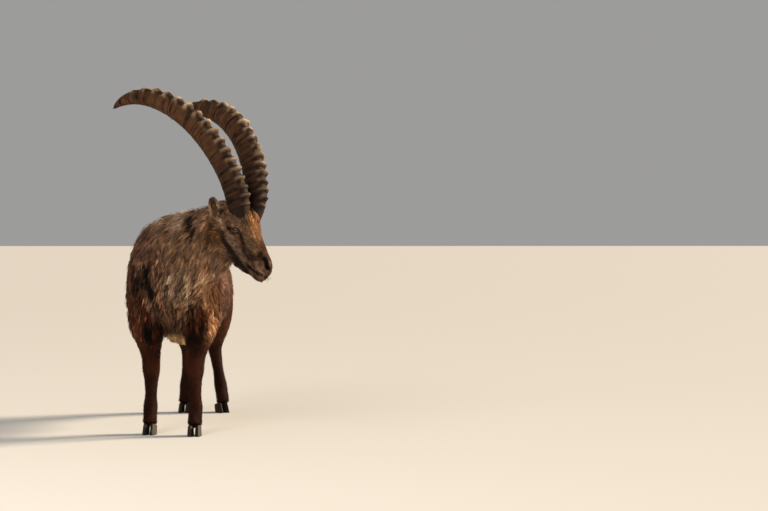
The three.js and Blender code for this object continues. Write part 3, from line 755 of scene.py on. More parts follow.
def ear_colour(colour, ears):
    """Ears: pale hair inside, a dark slot down the middle and a dark edge round the tip."""
    for form, (distance, place, _, shares) in zip(EAR_FORMS, ears):
        across, front = shares.T
        along = place / (len(form["centre"]) - 1)
        here = (distance < 10) * ease(along, 0.02, 0.12)
        inside = here * ease(front, -0.7, -0.2)
        slot = inside * (1 - ease(np.abs(across), 0.40, 0.66))
        slot *= ease(along, 0.08, 0.25) * (1 - ease(along, 0.82, 0.95))
        rim = here * ease(np.maximum(along, np.abs(across) * ease(along, 0.45, 0.8)), 0.84, 0.96)
        for share, code in ((inside, "#a98a6c"), (slot, "#17100c"), (rim * 0.85, "#3a261a")):
            colour = laid_over(colour, code, share)
    return colour


def add_node(material, kind, settings, links=()):
    """Adds a node of a kind, gives it its settings and links its inputs. A setting is one of the node's
    properties or an input's own value, a link is a socket, and an input goes by its name or number."""
    node = material.node_tree.nodes.new(kind)
    for key, value in settings.items():
        if isinstance(key, int) or key in node.inputs:
            node.inputs[key].default_value = value
        else:
            setattr(node, key, value)
    for key, socket in dict(links).items():
        material.node_tree.links.new(socket, node.inputs[key])
    return node


def new_material(name, **values):
    """A node material and its shader, whose own values are set; in a name, _ stands for a space."""
    material = bpy.data.materials.new(name)
    material.use_nodes = True
    shader = material.node_tree.nodes["Principled BSDF"]
    for key, value in values.items():
        shader.inputs[key.replace("_", " ")].default_value = value
    return material, shader


def tint_with(material, shader, attribute, pattern, start, end, darkest):
    """Base colour: the colours that the mesh carries, times a grey that rises evenly from darkest,
    where the pattern is at start or less, to 1, where it is at end or more."""
    tint = add_node(material, "ShaderNodeAttribute", {"attribute_name": attribute})
    shade = add_node(material, "ShaderNodeMapRange",
                     {"From Min": start, "From Max": end, "To Min": darkest}, {"Value": pattern})
    mixed = add_node(material, "ShaderNodeMix", {"data_type": "RGBA", "blend_type": "MULTIPLY", 0: 1.0},
                     {6: tint.outputs["Color"], 7: shade.outputs["Result"]})
    material.node_tree.links.new(mixed.outputs[2], shader.inputs["Base Color"])


# Tanned hide under short hair: dull, with the lie of the hairs for its grain. A hair is drawn 1.4 mm
# wide, as coarse as it needs to show, and six times as long
hide_material, shader = new_material("short_hair_on_hide", Roughness=0.85, IOR=1.5,
                                     Specular_IOR_Level=0.1)
grain = add_node(hide_material, "ShaderNodeAttribute", {"attribute_name": "Grain"})
hairs = add_node(hide_material, "ShaderNodeTexNoise", {"Scale": 700.0, "Detail": 3.0, "Roughness": 0.6},
                 {"Vector": grain.outputs["Vector"]})
tint_with(hide_material, shader, "Coat", hairs.outputs["Fac"], 0.3, 0.7, 0.62)
raised = add_node(hide_material, "ShaderNodeBump", {"Strength": 0.7, "Distance": 0.0012},
                  {"Height": hairs.outputs["Fac"]})
hide_material.node_tree.links.new(raised.outputs["Normal"], shader.inputs["Normal"])


def add_attribute(mesh, name, kind, values):
    """Stores one value a point: a colour or a vector."""
    made = mesh.attributes.new(name, kind, "POINT")
    if kind == "FLOAT_COLOR":
        values = np.column_stack([np.clip(values, 0, 1), np.ones(len(values))])
        made.data.foreach_set("color", values.astype(np.float32).ravel())
    else:
        made.data.foreach_set("vector", values.astype(np.float32).ravel())


skin_weights = form_weights(np.stack([part[0] for part in skin_parts], 1))
skin_colour = ear_colour(coat_colour(skin, skin_weights), skin_parts[EARS])
socket = eye_places(skin)
margin = np.abs(lid_share(socket[:, 0], socket[:, 1]) - 1.0) < 0.30
margin &= np.linalg.norm(socket, axis=1) < AROUND_EYE
skin_colour[margin] = to_linear("#17100c")
long_haired = skin_weights[:, TRUNK] + skin_weights[:, NECK]
HAIR_DRAWN_OUT = 6
GRAIN_APART = 97.0
grain_of_skin = np.zeros((len(skin), 3))
for number, (form, (_, place, angle, _)) in enumerate(zip(FORMS.values(), skin_parts)):
    mine = skin_weights.argmax(1) == number
    run = np.append(0, np.cumsum(np.linalg.norm(np.diff(form["centre"], axis=0), axis=1)))
    grain_of_skin[mine] = MM * np.column_stack([
        angle[mine] * form["sizes"][:, 0].mean(),
        np.interp(place[mine], np.arange(len(run)), run) / HAIR_DRAWN_OUT,
        np.full(mine.sum(), GRAIN_APART * number)])
skin_object = mesh_object("skin", skin, triangles.ravel(), np.full(len(triangles), 3), hide_material)
# Painted shade deep in the coat: under the long hair of trunk and neck the hide drops from 0.85 to 0.40
# of its colour.
hide_colour_with_painted_shade = skin_colour * (0.85 - 0.45 * long_haired)[:, None]
add_attribute(skin_object.data, "Coat", "FLOAT_COLOR", hide_colour_with_painted_shade)
add_attribute(skin_object.data, "Grain", "FLOAT_VECTOR", grain_of_skin)
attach(skin_object, "root")
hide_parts("trunk", "neck", "head", "ear_left", "ear_right", "tail", "fore_leg_left",
            "fore_leg_right", "hind_leg_left", "hind_leg_right")
bpy.data.meshes.remove(hide)

# Horns. Two sheaths of keratin over bone, grown in one piece: a sabre curve with thick knuckles
# across the front, fine growth rings round the sides, worn pale where it rubs.
# Root in the head's centimetres, lengths in millimetres, the rest as shares
HORN_ROOT = np.array([-2.9, -0.1, 3.35])
HORN_START, HORN_TURN, HORN_SPREAD = np.radians([60.8, 105.0, 12.3])
HORN_EVEN, HORN_HOOK = 0.78, 7.2
HORN_LENGTH, HORN_FRONT, HORN_BACK, HORN_HALF_WIDTH = 952, 57, 50, 38
HORN_SEAT, HORN_SEAT_END, HORN_FLARE, HORN_FLARE_END = 0.62, 75, 0.24, 170
HORN_BURIED, FOOT_FRONT, FOOT_BACK, FOOT_WIDE, FOOT_CAP = 28, 0.36, 0.95, 0.74, 14
HORN_KNOBS, KNOB_HEIGHT, RINGS_PER_KNOB, STEPS_PER_RING = 17, 17, 3, 8
FINE_RING, FINE_RING_HEIGHT, ROUGHNESS_HEIGHT = 9.0, 0.8, 2.4
HORN_AROUND = 56
TIP_RING, TIP_CAP = 7, 10
SIDE_LOW, SIDE_HIGH, WORN_LOW, WORN_HIGH = "#2b1609", "#50331d", "#4c321e", "#b39a7c"


def ridge_place(q):
    """How far along the horn ridge number q stands; they stand wider apart towards the tip."""
    return 24 + 31 * q + 1.25 * q * (q - 1)


def round_noise(angle, along, radius, seed):
    """Smooth noise over a round body, -0.5 to 0.5: read on a circle of a radius at a place along it."""
    around = np.cos(angle)[None] * radius, np.sin(angle)[None] * radius
    places = np.stack(np.broadcast_arrays(*around, along), -1)
    return noise(places.reshape(-1, 3), 1.0, seed).reshape(places.shape[:2]) - 0.5


def horn(hand):
    """Points, quads, end triangles and colours of a horn. Its middle line is drawn ring by ring, as a
    turn that is partly even and partly a power of the share along it. Each section is a superellipse,
    narrower behind. Knuckles rise as powers of a cosine of the ridge number, each with its own height,
    slant and lobes. The foot runs on under the hide, and both ends close to a point."""
    back = -noseward
    curl = between(back, crownward, -HORN_START)
    start = between(between(crownward, back, HORN_START), leftward, hand * HORN_SPREAD)
    rings = (HORN_KNOBS + 1) * RINGS_PER_KNOB + 2
    reach = np.maximum(ridge_place(np.arange(rings) / RINGS_PER_KNOB - 0.5), 0)
    share = (reach / HORN_LENGTH)[:, None]
    turn = HORN_TURN * (HORN_EVEN * share + (1 - HORN_EVEN) * share**HORN_HOOK)
    steps = np.diff(reach, prepend=0)[:, None]
    base = on_head(HORN_ROOT * (1, 1, hand))
    line = base + np.cumsum((start * np.cos(turn) + curl * np.sin(turn)) * steps, 0)
    t = np.linspace(0, rings - 1, (rings - 1) * STEPS_PER_RING + 1)
    centre = read_rows(line, t)
    q = t / RINGS_PER_KNOB - 0.5
    reach = np.maximum(ridge_place(q), 0)
    share = reach / HORN_LENGTH
    tangent = unit(np.gradient(centre, axis=0))
    sideways = unit(np.cross(start, curl))
    side = unit(sideways - tangent * (tangent @ sideways)[:, None])
    out = np.cross(tangent, side)
    taper = np.sqrt(np.maximum(1 - share**2.2, 0.004))
    fade = np.clip((HORN_KNOBS - 0.4 - q) / 2, 0, 1)
    swell = 0.55 + 0.45 * np.sin(math.pi * np.minimum(share * 1.15, 1))
    seat = HORN_SEAT + (1 - HORN_SEAT) * ease(reach, 0, HORN_SEAT_END)
    angle = np.linspace(0, 2 * math.pi, HORN_AROUND, endpoint=False)
    bend = lambda x: np.sign(x) * np.abs(x) ** 0.85
    up, across = bend(np.cos(angle))[None], bend(np.sin(angle))[None]
    chance = np.random.default_rng(41 + hand)
    knobs = np.arange(-1, HORN_KNOBS + 3)
    height, slant, lobe = [np.interp(q, knobs, chance.uniform(low, high, len(knobs)))[:, None]
                           for low, high in ((0.78, 1.22), (-0.10, 0.10), (0, 6.28))]
    wave = q[:, None] + slant * np.sin(angle) + 0.05 * np.cos(2 * angle)
    ridge = (0.5 + 0.5 * np.cos(2 * math.pi * wave)) ** 1.7
    ridge = ridge * (1 + 0.12 * np.sin(3 * angle + lobe)) * height
    frontness = ease(np.cos(angle), 0.58, 0.95)[None]
    rough = round_noise(angle, reach[:, None] / 14 + 50 * hand, 3, 21)
    rise = KNOB_HEIGHT * (swell * fade)[:, None] * ridge * (0.07 + 0.93 * frontness) * seat[:, None]
    fine_rings = np.sin(2 * math.pi * (reach[:, None] + 8 * rough) / FINE_RING)
    relief = FINE_RING_HEIGHT * fine_rings + ROUGHNESS_HEIGHT * rough
    rise += relief * (1 - ease(share, 0.93, 1))[:, None] * (1 - 0.6 * frontness)
    narrow = 1 - np.where(up > 0, 0.12, 0.3) * np.abs(up) ** 1.5
    wide = across * narrow * (HORN_HALF_WIDTH * taper)[:, None]
    flare = 1 + HORN_FLARE * (1 - ease(reach, 0, HORN_FLARE_END))
    front, behind = HORN_FRONT * taper * seat, HORN_BACK * taper * flare
    high = up * np.where(up > 0, front[:, None], behind[:, None])
    wide = wide + rise * across * 0.55
    high = high + rise * up * np.where(up > 0, 1, 0.5)
    points = centre[:, None] + side[:, None] * wide[..., None] + out[:, None] * high[..., None]
    foot = base - start * HORN_BURIED
    low = np.where(up[0] > 0, HORN_FRONT * FOOT_FRONT, HORN_BACK * FOOT_BACK) * up[0]
    below = foot + side[0] * (across * narrow * HORN_HALF_WIDTH * FOOT_WIDE).T + out[0] * low[:, None]
    upto = np.array([0, 0.25, 0.5, 0.75])[:, None, None]
    points = np.concatenate([below + (points[0] - below) * upto, points])
    root = foot - tangent[0] * FOOT_CAP
    tip = centre[-1] + tangent[-1] * TIP_CAP
    close = points[-1] * 0.45 + (centre[-1] + tangent[-1] * TIP_RING) * 0.55
    grid = np.arange((len(points) + 1) * HORN_AROUND).reshape(-1, HORN_AROUND)
    beside = np.roll(grid, -1, 1)
    quads = np.stack([grid[:-1], beside[:-1], beside[1:], grid[1:]], -1).reshape(-1, 4)
    pole = np.full(HORN_AROUND, grid.size)
    fans = np.concatenate([np.stack([beside[0], grid[0], pole], 1),
                           np.stack([grid[-1], beside[-1], pole + 1], 1)])
    points = np.concatenate([points.reshape(-1, 3), close, root[None], tip[None]])
    groove = 1 - np.clip(ridge, 0, 1)
    bands = round_noise(angle, reach[:, None] / 7.5 + 0.5 * rough + 90 * hand, 0.5, 22)
    upward = np.sin(math.pi / 2 * np.clip(share * 1.6, 0, 1))[:, None, None]
    side_tone = to_linear(SIDE_LOW) + (to_linear(SIDE_HIGH) - to_linear(SIDE_LOW)) * upward
    worn = to_linear(WORN_LOW) + (to_linear(WORN_HIGH) - to_linear(WORN_LOW)) * upward
    amount = frontness * np.clip(ridge - 0.25 + 1.2 * rough, 0, 1)
    amount = (amount * (1 - 0.35 * ease(share, 0.75, 1))[:, None])[..., None]
    colour = side_tone * (1 - amount) + worn * amount
    # Painted shade: the grooves between the knuckles on the front are darkened by up to 0.6.
    colour *= (1 - 0.6 * (groove * frontness * fade[:, None]))[..., None]
    lines = ease(-bands, 0.02, 0.16) * (1 - 0.7 * frontness)
    colour *= (1 + 0.9 * rough + 0.7 * bands - 0.45 * lines)[..., None]
    colour = laid_over(colour, "#241b15", ease(share, 0.955, 1.0)[:, None])
    colour = laid_over(colour, "#2c1f16", (1 - ease(reach, 0, 40))[:, None] * 0.5)
    colour = np.concatenate([colour[:1]] * len(upto) + [colour])
    colour = np.concatenate([colour.reshape(-1, 3), colour[-1], colour[0, :1], colour[-1, :1]])
    return points, quads, fans, colour


def closed_object(name, points, quads, fans, material, attribute, colour):
    """A closed body of quads with triangles at its two ends, and its colours."""
    corners = np.concatenate([quads.ravel(), fans.ravel()])
    sizes = np.concatenate([np.full(len(quads), 4), np.full(len(fans), 3)])
    made = mesh_object(name, points, corners, sizes, material)
    add_attribute(made.data, attribute, "FLOAT_COLOR", colour)
    return made


# Old keratin: dry and dull, its pores and scuffs about 5 mm across
horn_material, shader = new_material("ridged_keratin", Roughness=0.7, IOR=1.55, Specular_IOR_Level=0.12)
where = add_node(horn_material, "ShaderNodeTexCoord", {})
specks = add_node(horn_material, "ShaderNodeTexNoise",
                  {"Scale": 190.0, "Detail": 6.0, "Roughness": 0.7},
                  {"Vector": where.outputs["Object"]})
tint_with(horn_material, shader, "Worn", specks.outputs["Fac"], 0.30, 0.68, 0.60)
raised = add_node(horn_material, "ShaderNodeBump", {"Strength": 0.5, "Distance": 0.0015},
                  {"Height": specks.outputs["Fac"]})
horn_material.node_tree.links.new(raised.outputs["Normal"], shader.inputs["Normal"])
for side_name, hand in (("left", 1), ("right", -1)):
    points, quads, fans, colour = horn(hand)
    name = f"horn_sheath_{side_name}"
    made = closed_object(name, points, quads, fans, horn_material, "Worn", colour)
    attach(made, "root")
    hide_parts(f"horn_{side_name}")

# Eyes. Glass eyes as a taxidermist sets them: a dark ball with a bulging clear front over an
# amber iris and a long pupil that stays level.
EYE_RINGS = 40
EYE_AROUND = 64
BALL_RADIUS = 17.4
CORNEA_RISE = 1.1
PUPIL_HALF_LONG, PUPIL_HALF_HIGH = 0.46, 0.17


def eye(hand):
    """A ball whose front bulges by a bell of the angle from its gaze. Colours by that angle, and for
    the pupil by a rounded slot that lies level."""
    axes = (EYE_AXES * (1, 1, hand)) @ HEAD_AXES
    forward = axes[2]
    level = unit(np.cross(UP, forward))
    lift = np.cross(forward, level)
    tilt = np.linspace(0, math.pi, EYE_RINGS + 1)[1:-1]
    turn = np.linspace(0, 2 * math.pi, EYE_AROUND, endpoint=False)
    radius = BALL_RADIUS + CORNEA_RISE * np.exp(-((tilt / 0.5) ** 2))
    ring = np.sin(tilt)[:, None, None] * (np.cos(turn)[:, None] * level + np.sin(turn)[:, None] * lift)
    directions = ring + np.cos(tilt)[:, None, None] * forward
    centre = on_head(EYE * (1, 1, hand))
    points = centre + directions * radius[:, None, None]
    poles = centre + forward * np.array([[BALL_RADIUS + CORNEA_RISE], [-BALL_RADIUS]])
    flat = np.concatenate([directions.reshape(-1, 3), forward[None], -forward[None]])
    x, y = flat @ level, flat @ lift
    away = np.arccos(np.clip(flat @ forward, -1, 1))
    slot = ((np.abs(x) / PUPIL_HALF_LONG) ** 3 + (np.abs(y) / PUPIL_HALF_HIGH) ** 3) ** (1 / 3)
    colour = np.tile(to_linear("#241710"), (len(flat), 1))
    for share, code in ((1 - ease(away, 0.84, 0.94), "#2a1a0e"),
                        (1 - ease(away, 0.72, 0.84), "#573c20"),
                        ((1 - ease(away, 0.34, 0.62)) * 0.4, "#75552e"),
                        (1 - ease(slot, 0.92, 1.08), "#070504")):
        colour = laid_over(colour, code, share)
    grid = np.arange(len(tilt) * EYE_AROUND).reshape(-1, EYE_AROUND)
    beside = np.roll(grid, -1, 1)
    quads = np.stack([grid[:-1], grid[1:], beside[1:], beside[:-1]], -1).reshape(-1, 4)
    pole = np.full(EYE_AROUND, grid.size)
    fans = np.concatenate([np.stack([pole, grid[0], beside[0]], 1),
                           np.stack([pole + 1, beside[-1], grid[-1]], 1)])
    return np.concatenate([points.reshape(-1, 3), poles]), quads, fans, colour


# Painted glass: wet and clear over an iris whose fibres are about 1 mm apart
eye_material, shader = new_material("glass_eye", Roughness=0.1, IOR=1.34)
where = add_node(eye_material, "ShaderNodeTexCoord", {})
fibres = add_node(eye_material, "ShaderNodeTexNoise", {"Scale": 900.0, "Detail": 2.0},
                  {"Vector": where.outputs["Object"]})
tint_with(eye_material, shader, "Iris", fibres.outputs["Fac"], 0.3, 0.7, 0.7)
for side_name, hand in (("left", 1), ("right", -1)):
    points, quads, fans, colour = eye(hand)
    made = closed_object(f"glass_eye_{side_name}", points, quads, fans, eye_material, "Iris", colour)
    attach(made, "root")
    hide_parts(f"eye_{side_name}")

# Hooves. Two claws of dark horn to a foot, with growth rings and a scuffed lower edge, and two
# small dew claws that stand behind the fetlock.
CLAW_LENGTH, CLAW_WIDTH, CLAW_FRONT, CLAW_BACK = 74, 29, 48, 30
CLAW_LEAN, CLAW_POINT, CLEFT = 18, 0.55, 3
DEW_CLAW_OUT, DEW_CLAW_BEHIND, DEW_CLAW_UP = 15, 44, 22
DEW_CLAW_HALF_SIZES = (9.5, 10.5, 15.5)
CLAW_AROUND, NUB_AROUND, NUB_RINGS = 48, 20, 12
# The leg that each foot belongs to, and how far the foot is turned, in radians
FEET = {
    "fore_left": ("fore_leg_left", 0.05), "fore_right": ("fore_leg_right", -0.08),
    "hind_left": ("hind_leg_left", 0.5), "hind_right": ("hind_leg_right", -0.1),
}


def claw(place, heading, hand):
    """A wall that leans forward from a flat sole, pointed at the toe, up to a domed top under the hair.
    Its outline is an ellipse that narrows as a power of how far forward it is; level, spread and growth
    give each ring's height, its share of the outline and the swell of the growth rings."""
    level = np.array([0, 0, 0.02, 0.08, 0.2, 0.35, 0.5, 0.65, 0.8, 0.92, 1.0, 1.06, 1.08])
    spread = np.array([0, 0.97, 0.995, 1.0, 0.985, 0.965, 0.94, 0.915, 0.885, 0.86, 0.82, 0.55, 0])
    growth = np.array([0, 0, 0, 0.3, -0.2, 0.3, -0.2, 0.3, -0.2, 0.3, 0, 0, 0])
    angle = np.linspace(0, 2 * math.pi, CLAW_AROUND, endpoint=False)
    along = -np.cos(angle)
    toe = 1 - CLAW_POINT * np.maximum(-along, 0) ** 2.2
    half = CLAW_WIDTH / 2 * np.sin(angle) * toe
    rows = []
    for share, wide, swell in zip(level, spread, growth):
        lift = CLAW_FRONT + (CLAW_BACK - CLAW_FRONT) * (along * wide + 1) / 2
        x = half * wide + swell * np.sin(angle) + hand * (CLEFT + CLAW_WIDTH) / 2
        y = along * (CLAW_LENGTH / 2 * wide + swell) + CLAW_LEAN * share
        rows.append(np.column_stack([x, y, share * lift]))
    points = np.array(rows)
    points[0] = points[0].mean(0)
    points[-1] = points[-1].mean(0)
    cos, sin = math.cos(heading), math.sin(heading)
    return points @ np.array([[cos, sin, 0], [-sin, cos, 0], [0, 0, 1]]) + place


def nub(centre, sizes):
    """A small upright egg, its width a power of the sine of the angle from its top."""
    tilt = np.linspace(0, math.pi, NUB_RINGS + 1)[::-1, None]
    angle = np.linspace(0, 2 * math.pi, NUB_AROUND, endpoint=False)
    wide = np.sin(tilt) ** 0.9
    rings = np.broadcast_arrays(wide * np.sin(angle), -wide * np.cos(angle), np.cos(tilt))
    return np.array(centre) + np.array(sizes) * np.stack(rings, -1)


def ring_faces(rows):
    """Points and triangles of a stack of rings whose first and last close to a point, without the
    triangles that the point makes empty."""
    count, around = rows.shape[:2]
    grid = np.arange(count * around).reshape(count, around)
    beside = np.roll(grid, -1, 1)
    quads = np.stack([grid[:-1], beside[:-1], beside[1:], grid[1:]], -1).reshape(-1, 4)
    split = np.concatenate([quads[:, [0, 1, 2]], quads[:, [0, 2, 3]]])
    flat = rows.reshape(-1, 3)
    a, b, c = flat[split[:, 0]], flat[split[:, 1]], flat[split[:, 2]]
    return flat, split[np.linalg.norm(np.cross(b - a, c - a), axis=1) > 1e-6]


# Hoof horn: dark and dull, with upright grain and growth lines about 2.5 mm apart
hoof_material, shader = new_material("hoof_horn", Roughness=0.65, IOR=1.55, Specular_IOR_Level=0.2)
where = add_node(hoof_material, "ShaderNodeTexCoord", {})
grow = add_node(hoof_material, "ShaderNodeMapping", {"Scale": (1, 1, 7)},
                {"Vector": where.outputs["Object"]})
lines = add_node(hoof_material, "ShaderNodeTexNoise", {"Scale": 60.0, "Detail": 5.0},
                 {"Vector": grow.outputs["Vector"]})
tone = add_node(hoof_material, "ShaderNodeMapRange", {"From Min": 0.3, "From Max": 0.75, "To Min": 0.2},
                {"Value": lines.outputs["Fac"]})
scuff = add_node(hoof_material, "ShaderNodeMix",
                 {"data_type": "RGBA", 6: (*to_linear("#15100c"), 1), 7: (*to_linear("#33281f"), 1)},
                 {0: tone.outputs["Result"]})
hoof_material.node_tree.links.new(scuff.outputs[2], shader.inputs["Base Color"])
raised = add_node(hoof_material, "ShaderNodeBump", {"Strength": 0.4, "Distance": 0.001},
                  {"Height": lines.outputs["Fac"]})
hoof_material.node_tree.links.new(raised.outputs["Normal"], shader.inputs["Normal"])
for foot, (leg, heading) in FEET.items():
    foot_x, foot_y, foot_z = FORMS[leg]["centre"][-1]
    place = np.array([foot_x, foot_y - CLAW_LEAN, 0])
    points, corners, start = [], [], 0
    pieces = [claw(place, heading, hand) for hand in (1, -1)]
    pieces += [nub((foot_x + hand * DEW_CLAW_OUT, foot_y + DEW_CLAW_BEHIND, foot_z + DEW_CLAW_UP),
                   DEW_CLAW_HALF_SIZES) for hand in (1, -1)]
    for rows in pieces:
        flat, faces = ring_faces(rows)
        points.append(flat)
        corners.append(faces + start)
        start += len(flat)
    corners = np.concatenate(corners)
    made = mesh_object(f"hoof_{foot}", np.concatenate(points), corners.ravel(),
                       np.full(len(corners), 3), hoof_material)
    work = bmesh.new()
    work.from_mesh(made.data)
    bmesh.ops.remove_doubles(work, verts=work.verts, dist=1e-6)
    bmesh.ops.recalc_face_normals(work, faces=work.faces)
    work.to_mesh(made.data)
    work.free()
    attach(made, "root")
    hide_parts(f"hoof_{foot}_a", f"hoof_{foot}_b")

# The coat. Locks of hair rooted all over the hide, each a thin pointed wisp that leaves the
# skin, bends and lies along the body, drawn together at the tips into shaggy tufts. Long and
# loose on the neck, shoulders and brisket, shorter on the barrel, close on legs and face.
def by_form(**values):
    """One number a form, from values given by name, where left and right share one."""
    plain = [name.replace("_left", "").replace("_right", "") for name in NAMES]
    return np.array([values[name] for name in plain], float)


def coat_fields(points, normals, parts, weights):
    """What the coat does at points: its lie, length, half width, depth over the skin, and roots to the
    square centimetre. Each starts from its form's own value and is changed by soft fields of place."""
    y, z = points[:, 1], points[:, 2]
    places = head_places(points)
    along, up, left = places[:, 0], places[:, 1], np.abs(places[:, 2])
    on_head_part = weights[:, HEAD]
    chin = on_head_part * np.exp(-(((places - (17.8, -12.0, 0)) / (2.6, 1.6, 2.6)) ** 2).sum(1))
    tangents = np.stack([form["tangent"][part[1].astype(int)]
                         for form, part in zip(FORMS.values(), parts)], 1)

    # Which way it lies: each form's own flow, turned down at the chin and up round the horns' feet
    chest = ease(-y, -170, 30)[:, None]
    flows = np.zeros((len(points), len(NAMES), 3))
    flows[:, TRUNK] = np.array([0, 0.8, -0.6]) * (1 - chest) + np.array([0, 0.10, -1]) * chest
    flows[:, NECK] = -tangents[:, NECK] * 0.75 - UP * 0.75
    flows[:, FORE_LEGS] = np.array([0, 0.28, -1])
    flows[:, HIND_LEGS] = np.array([0, 0.25, -1])
    flows[:, TAIL] = tangents[:, TAIL]
    sides = np.sign(places[:, 2:3])
    flows[:, HEAD] = -noseward * 0.9 - crownward * 0.30 + leftward * sides * 0.12
    flows[:, HEAD] -= crownward * 0.4 * chin[:, None]
    flat_places = np.column_stack([along, up, left])
    from_horn = np.linalg.norm((flat_places - (-3.0, 0.8, 3.4)) / (5.6, 3.6, 4.0), axis=1)
    at_horn = on_head_part * (1 - ease(from_horn, 0.95, 1.3))
    horn_middle = on_head((-3.4, 3.0, 0) + sides * (0, 0, 3.6))
    flows[:, HEAD] += unit(horn_middle - points) * 1.3 * at_horn[:, None]
    flows[:, EARS] = tangents[:, EARS]
    lie = (flows * weights[..., None]).sum(1)
    lie = unit(lie - normals * (lie * normals).sum(1, keepdims=True))

    # How long, how wide and how close: close on shins and rump, long at coronet, brisket and elbow
    upper = ease(z, 290, 520)
    on_leg = weights[:, LEGS].sum(1)
    length = weights @ by_form(trunk=50, neck=66, fore_leg=36, hind_leg=26, tail=42, head=9, ear=9)
    width = weights @ by_form(trunk=1.8, neck=1.75, fore_leg=1.8, hind_leg=1.7, tail=1.8, head=0.8,
                              ear=0.7)
    roots = weights @ by_form(trunk=4.9, neck=11, fore_leg=7.4, hind_leg=5.8, tail=8, head=17, ear=15)
    length *= 1 - on_leg * (1 - upper) * 0.68
    width *= 1 - on_leg * (1 - upper) * 0.45
    roots *= 1 - on_leg * (1 - upper) * 0.10
    coronet = on_leg * (1 - ease(z, 55, 90))
    length *= 1 + 0.9 * coronet
    roots *= 1 + 0.5 * coronet
    rump = weights[:, TRUNK] * ease(y, 420, 640)
    length *= 1 - 0.38 * rump
    brisket = np.exp(-(((points - (0, -20, 480)) / (150, 90, 90)) ** 2).sum(1)) * (1 - on_leg * 0.4)
    elbow = np.exp(-((y - 30) / 70) ** 2 - ((z - 470) / 70) ** 2) * weights[:, FORE_LEGS].sum(1)
    length *= 1 + 0.55 * brisket + 0.5 * elbow
    withers = np.exp(-(((points - (50, -60, 950)) / (110, 190, 70)) ** 2).sum(1))
    length *= 1 + 0.15 * withers

    # The head: closer on the muzzle, longer under the jaw, on cheek and brow and against the horns
    muzzle = on_head_part * ease(along, 11.5, 16)
    under = on_head_part * ease(-up, 12.2, 14.0)
    under = under * (1 - ease(along, 14.5, 17.0)) * (1 - ease(left, 2.0, 4.2))
    cheek = on_head_part * (1 - ease(along, -6, 3.5))
    brow = on_head_part * ease(up, -1.8, 0.2) * (1 - ease(along, 2, 6))
    length = length * (1 - 0.50 * muzzle) + 22 * under * (1 - chin) + 3 * chin
    length = length + 12 * cheek + 5 * brow + 14 * at_horn
    width = width * (1 - 0.15 * muzzle) + 1.0 * under + 1.1 * cheek + 0.4 * brow
    roots *= 1 - 0.45 * under - 0.35 * cheek
    coats = [form["sizes"][:, 5] for form in FORMS.values()]
    depths = [np.interp(part[1], np.arange(len(coat)), coat) for coat, part in zip(coats, parts)]
    depth = (np.stack(depths, 1) * weights).sum(1)
    depth += 8 * under * (1 - chin) + 2 * chin + 3 * brow + 7 * at_horn

    # Bare places: lids, nostrils, mouth, the pad of the nose, the ears' hollows, under the horns
    socket = eye_places(points)
    away = np.linalg.norm(socket, axis=1) > AROUND_EYE
    roots *= np.clip(ease(lid_share(socket[:, 0], socket[:, 1]), 1.16, 1.3) + away, 0, 1)
    for name, clear in (("nostril", 0.50), ("mouth", 0.32), ("lip", 0.22)):
        roots *= path_distance(flat_places, FACE_FOLDS[name][0]) > clear
    roots *= ((flat_places - (21.6, -4.4, 0.4)) ** 2).sum(1) > 0.8
    for number in range(len(NAMES))[EARS]:
        across, front = parts[number][3].T
        here = weights[:, number]
        rim = here * ease(np.abs(across), 0.5, 0.85) * ease(front, -0.6, 0.0)
        length += 9 * rim
        roots *= 1 - here * ease(front, -0.2, 0.1) * (1 - ease(np.abs(across), 0.40, 0.58))
    under_horn = ((flat_places - (-3.6, 1.4, 3.6)) / (4.4, 3.0, 2.9)) ** 2
    roots *= under_horn.sum(1) > 0.72
    return lie, length, width, depth, roots


# Roots are dealt out over the skin's triangles in shuffled order, one to each whole count wanted
lie, length, width, depth, roots = coat_fields(skin, normals, skin_parts, skin_weights)
a, b, c = skin[triangles.T]
SQUARE_CENTIMETRE = 100
area = np.linalg.norm(np.cross(b - a, c - a), axis=1) / 2 / SQUARE_CENTIMETRE
in_lid = (triangles >= len(skin) - 2 * len(LID_SECTION) * LID_AROUND).any(1)
wanted = area * roots[triangles].mean(1) * ~in_lid
chance = np.random.default_rng(7)
spread = chance.permutation(len(wanted))
totals = np.cumsum(wanted[spread])
picks = np.sort(spread[np.searchsorted(totals, np.arange(0.5, totals[-1], 1.0))])
u, v = chance.random((2, len(picks)))
u, v = np.where(u + v > 1, 1 - u, u), np.where(u + v > 1, 1 - v, v)
shares = np.stack([1 - u - v, u, v], 1)
corner = triangles[picks]


def carried(values):
    """Values of the skin's points carried to the roots."""
    if values.ndim == 1:
        return (values[corner] * shares).sum(1)
    return (values[corner] * shares[..., None]).sum(1)


root = carried(skin)
out = unit(carried(normals))
lie = unit(carried(lie))
length, width, depth = carried(length), carried(width), carried(depth)
weights = carried(skin_weights)
leading = weights.argmax(1)
count = len(root)

# The way the coat usually lies on each form; tufts and streaks of colour are drawn out along it
usual_lie = unit(np.array([(0, 0.75, -0.65), *[(0, 0.25, -1)] * 5, (0, 0.2, -1), -noseward,
                           crownward, crownward]))[leading]


def drawn_out(amount):
    """Roots squeezed along the coat's usual lie, so that a pattern on them is drawn out as much."""
    return root - usual_lie * ((root * usual_lie).sum(1) * (1 - 1 / amount))[:, None]


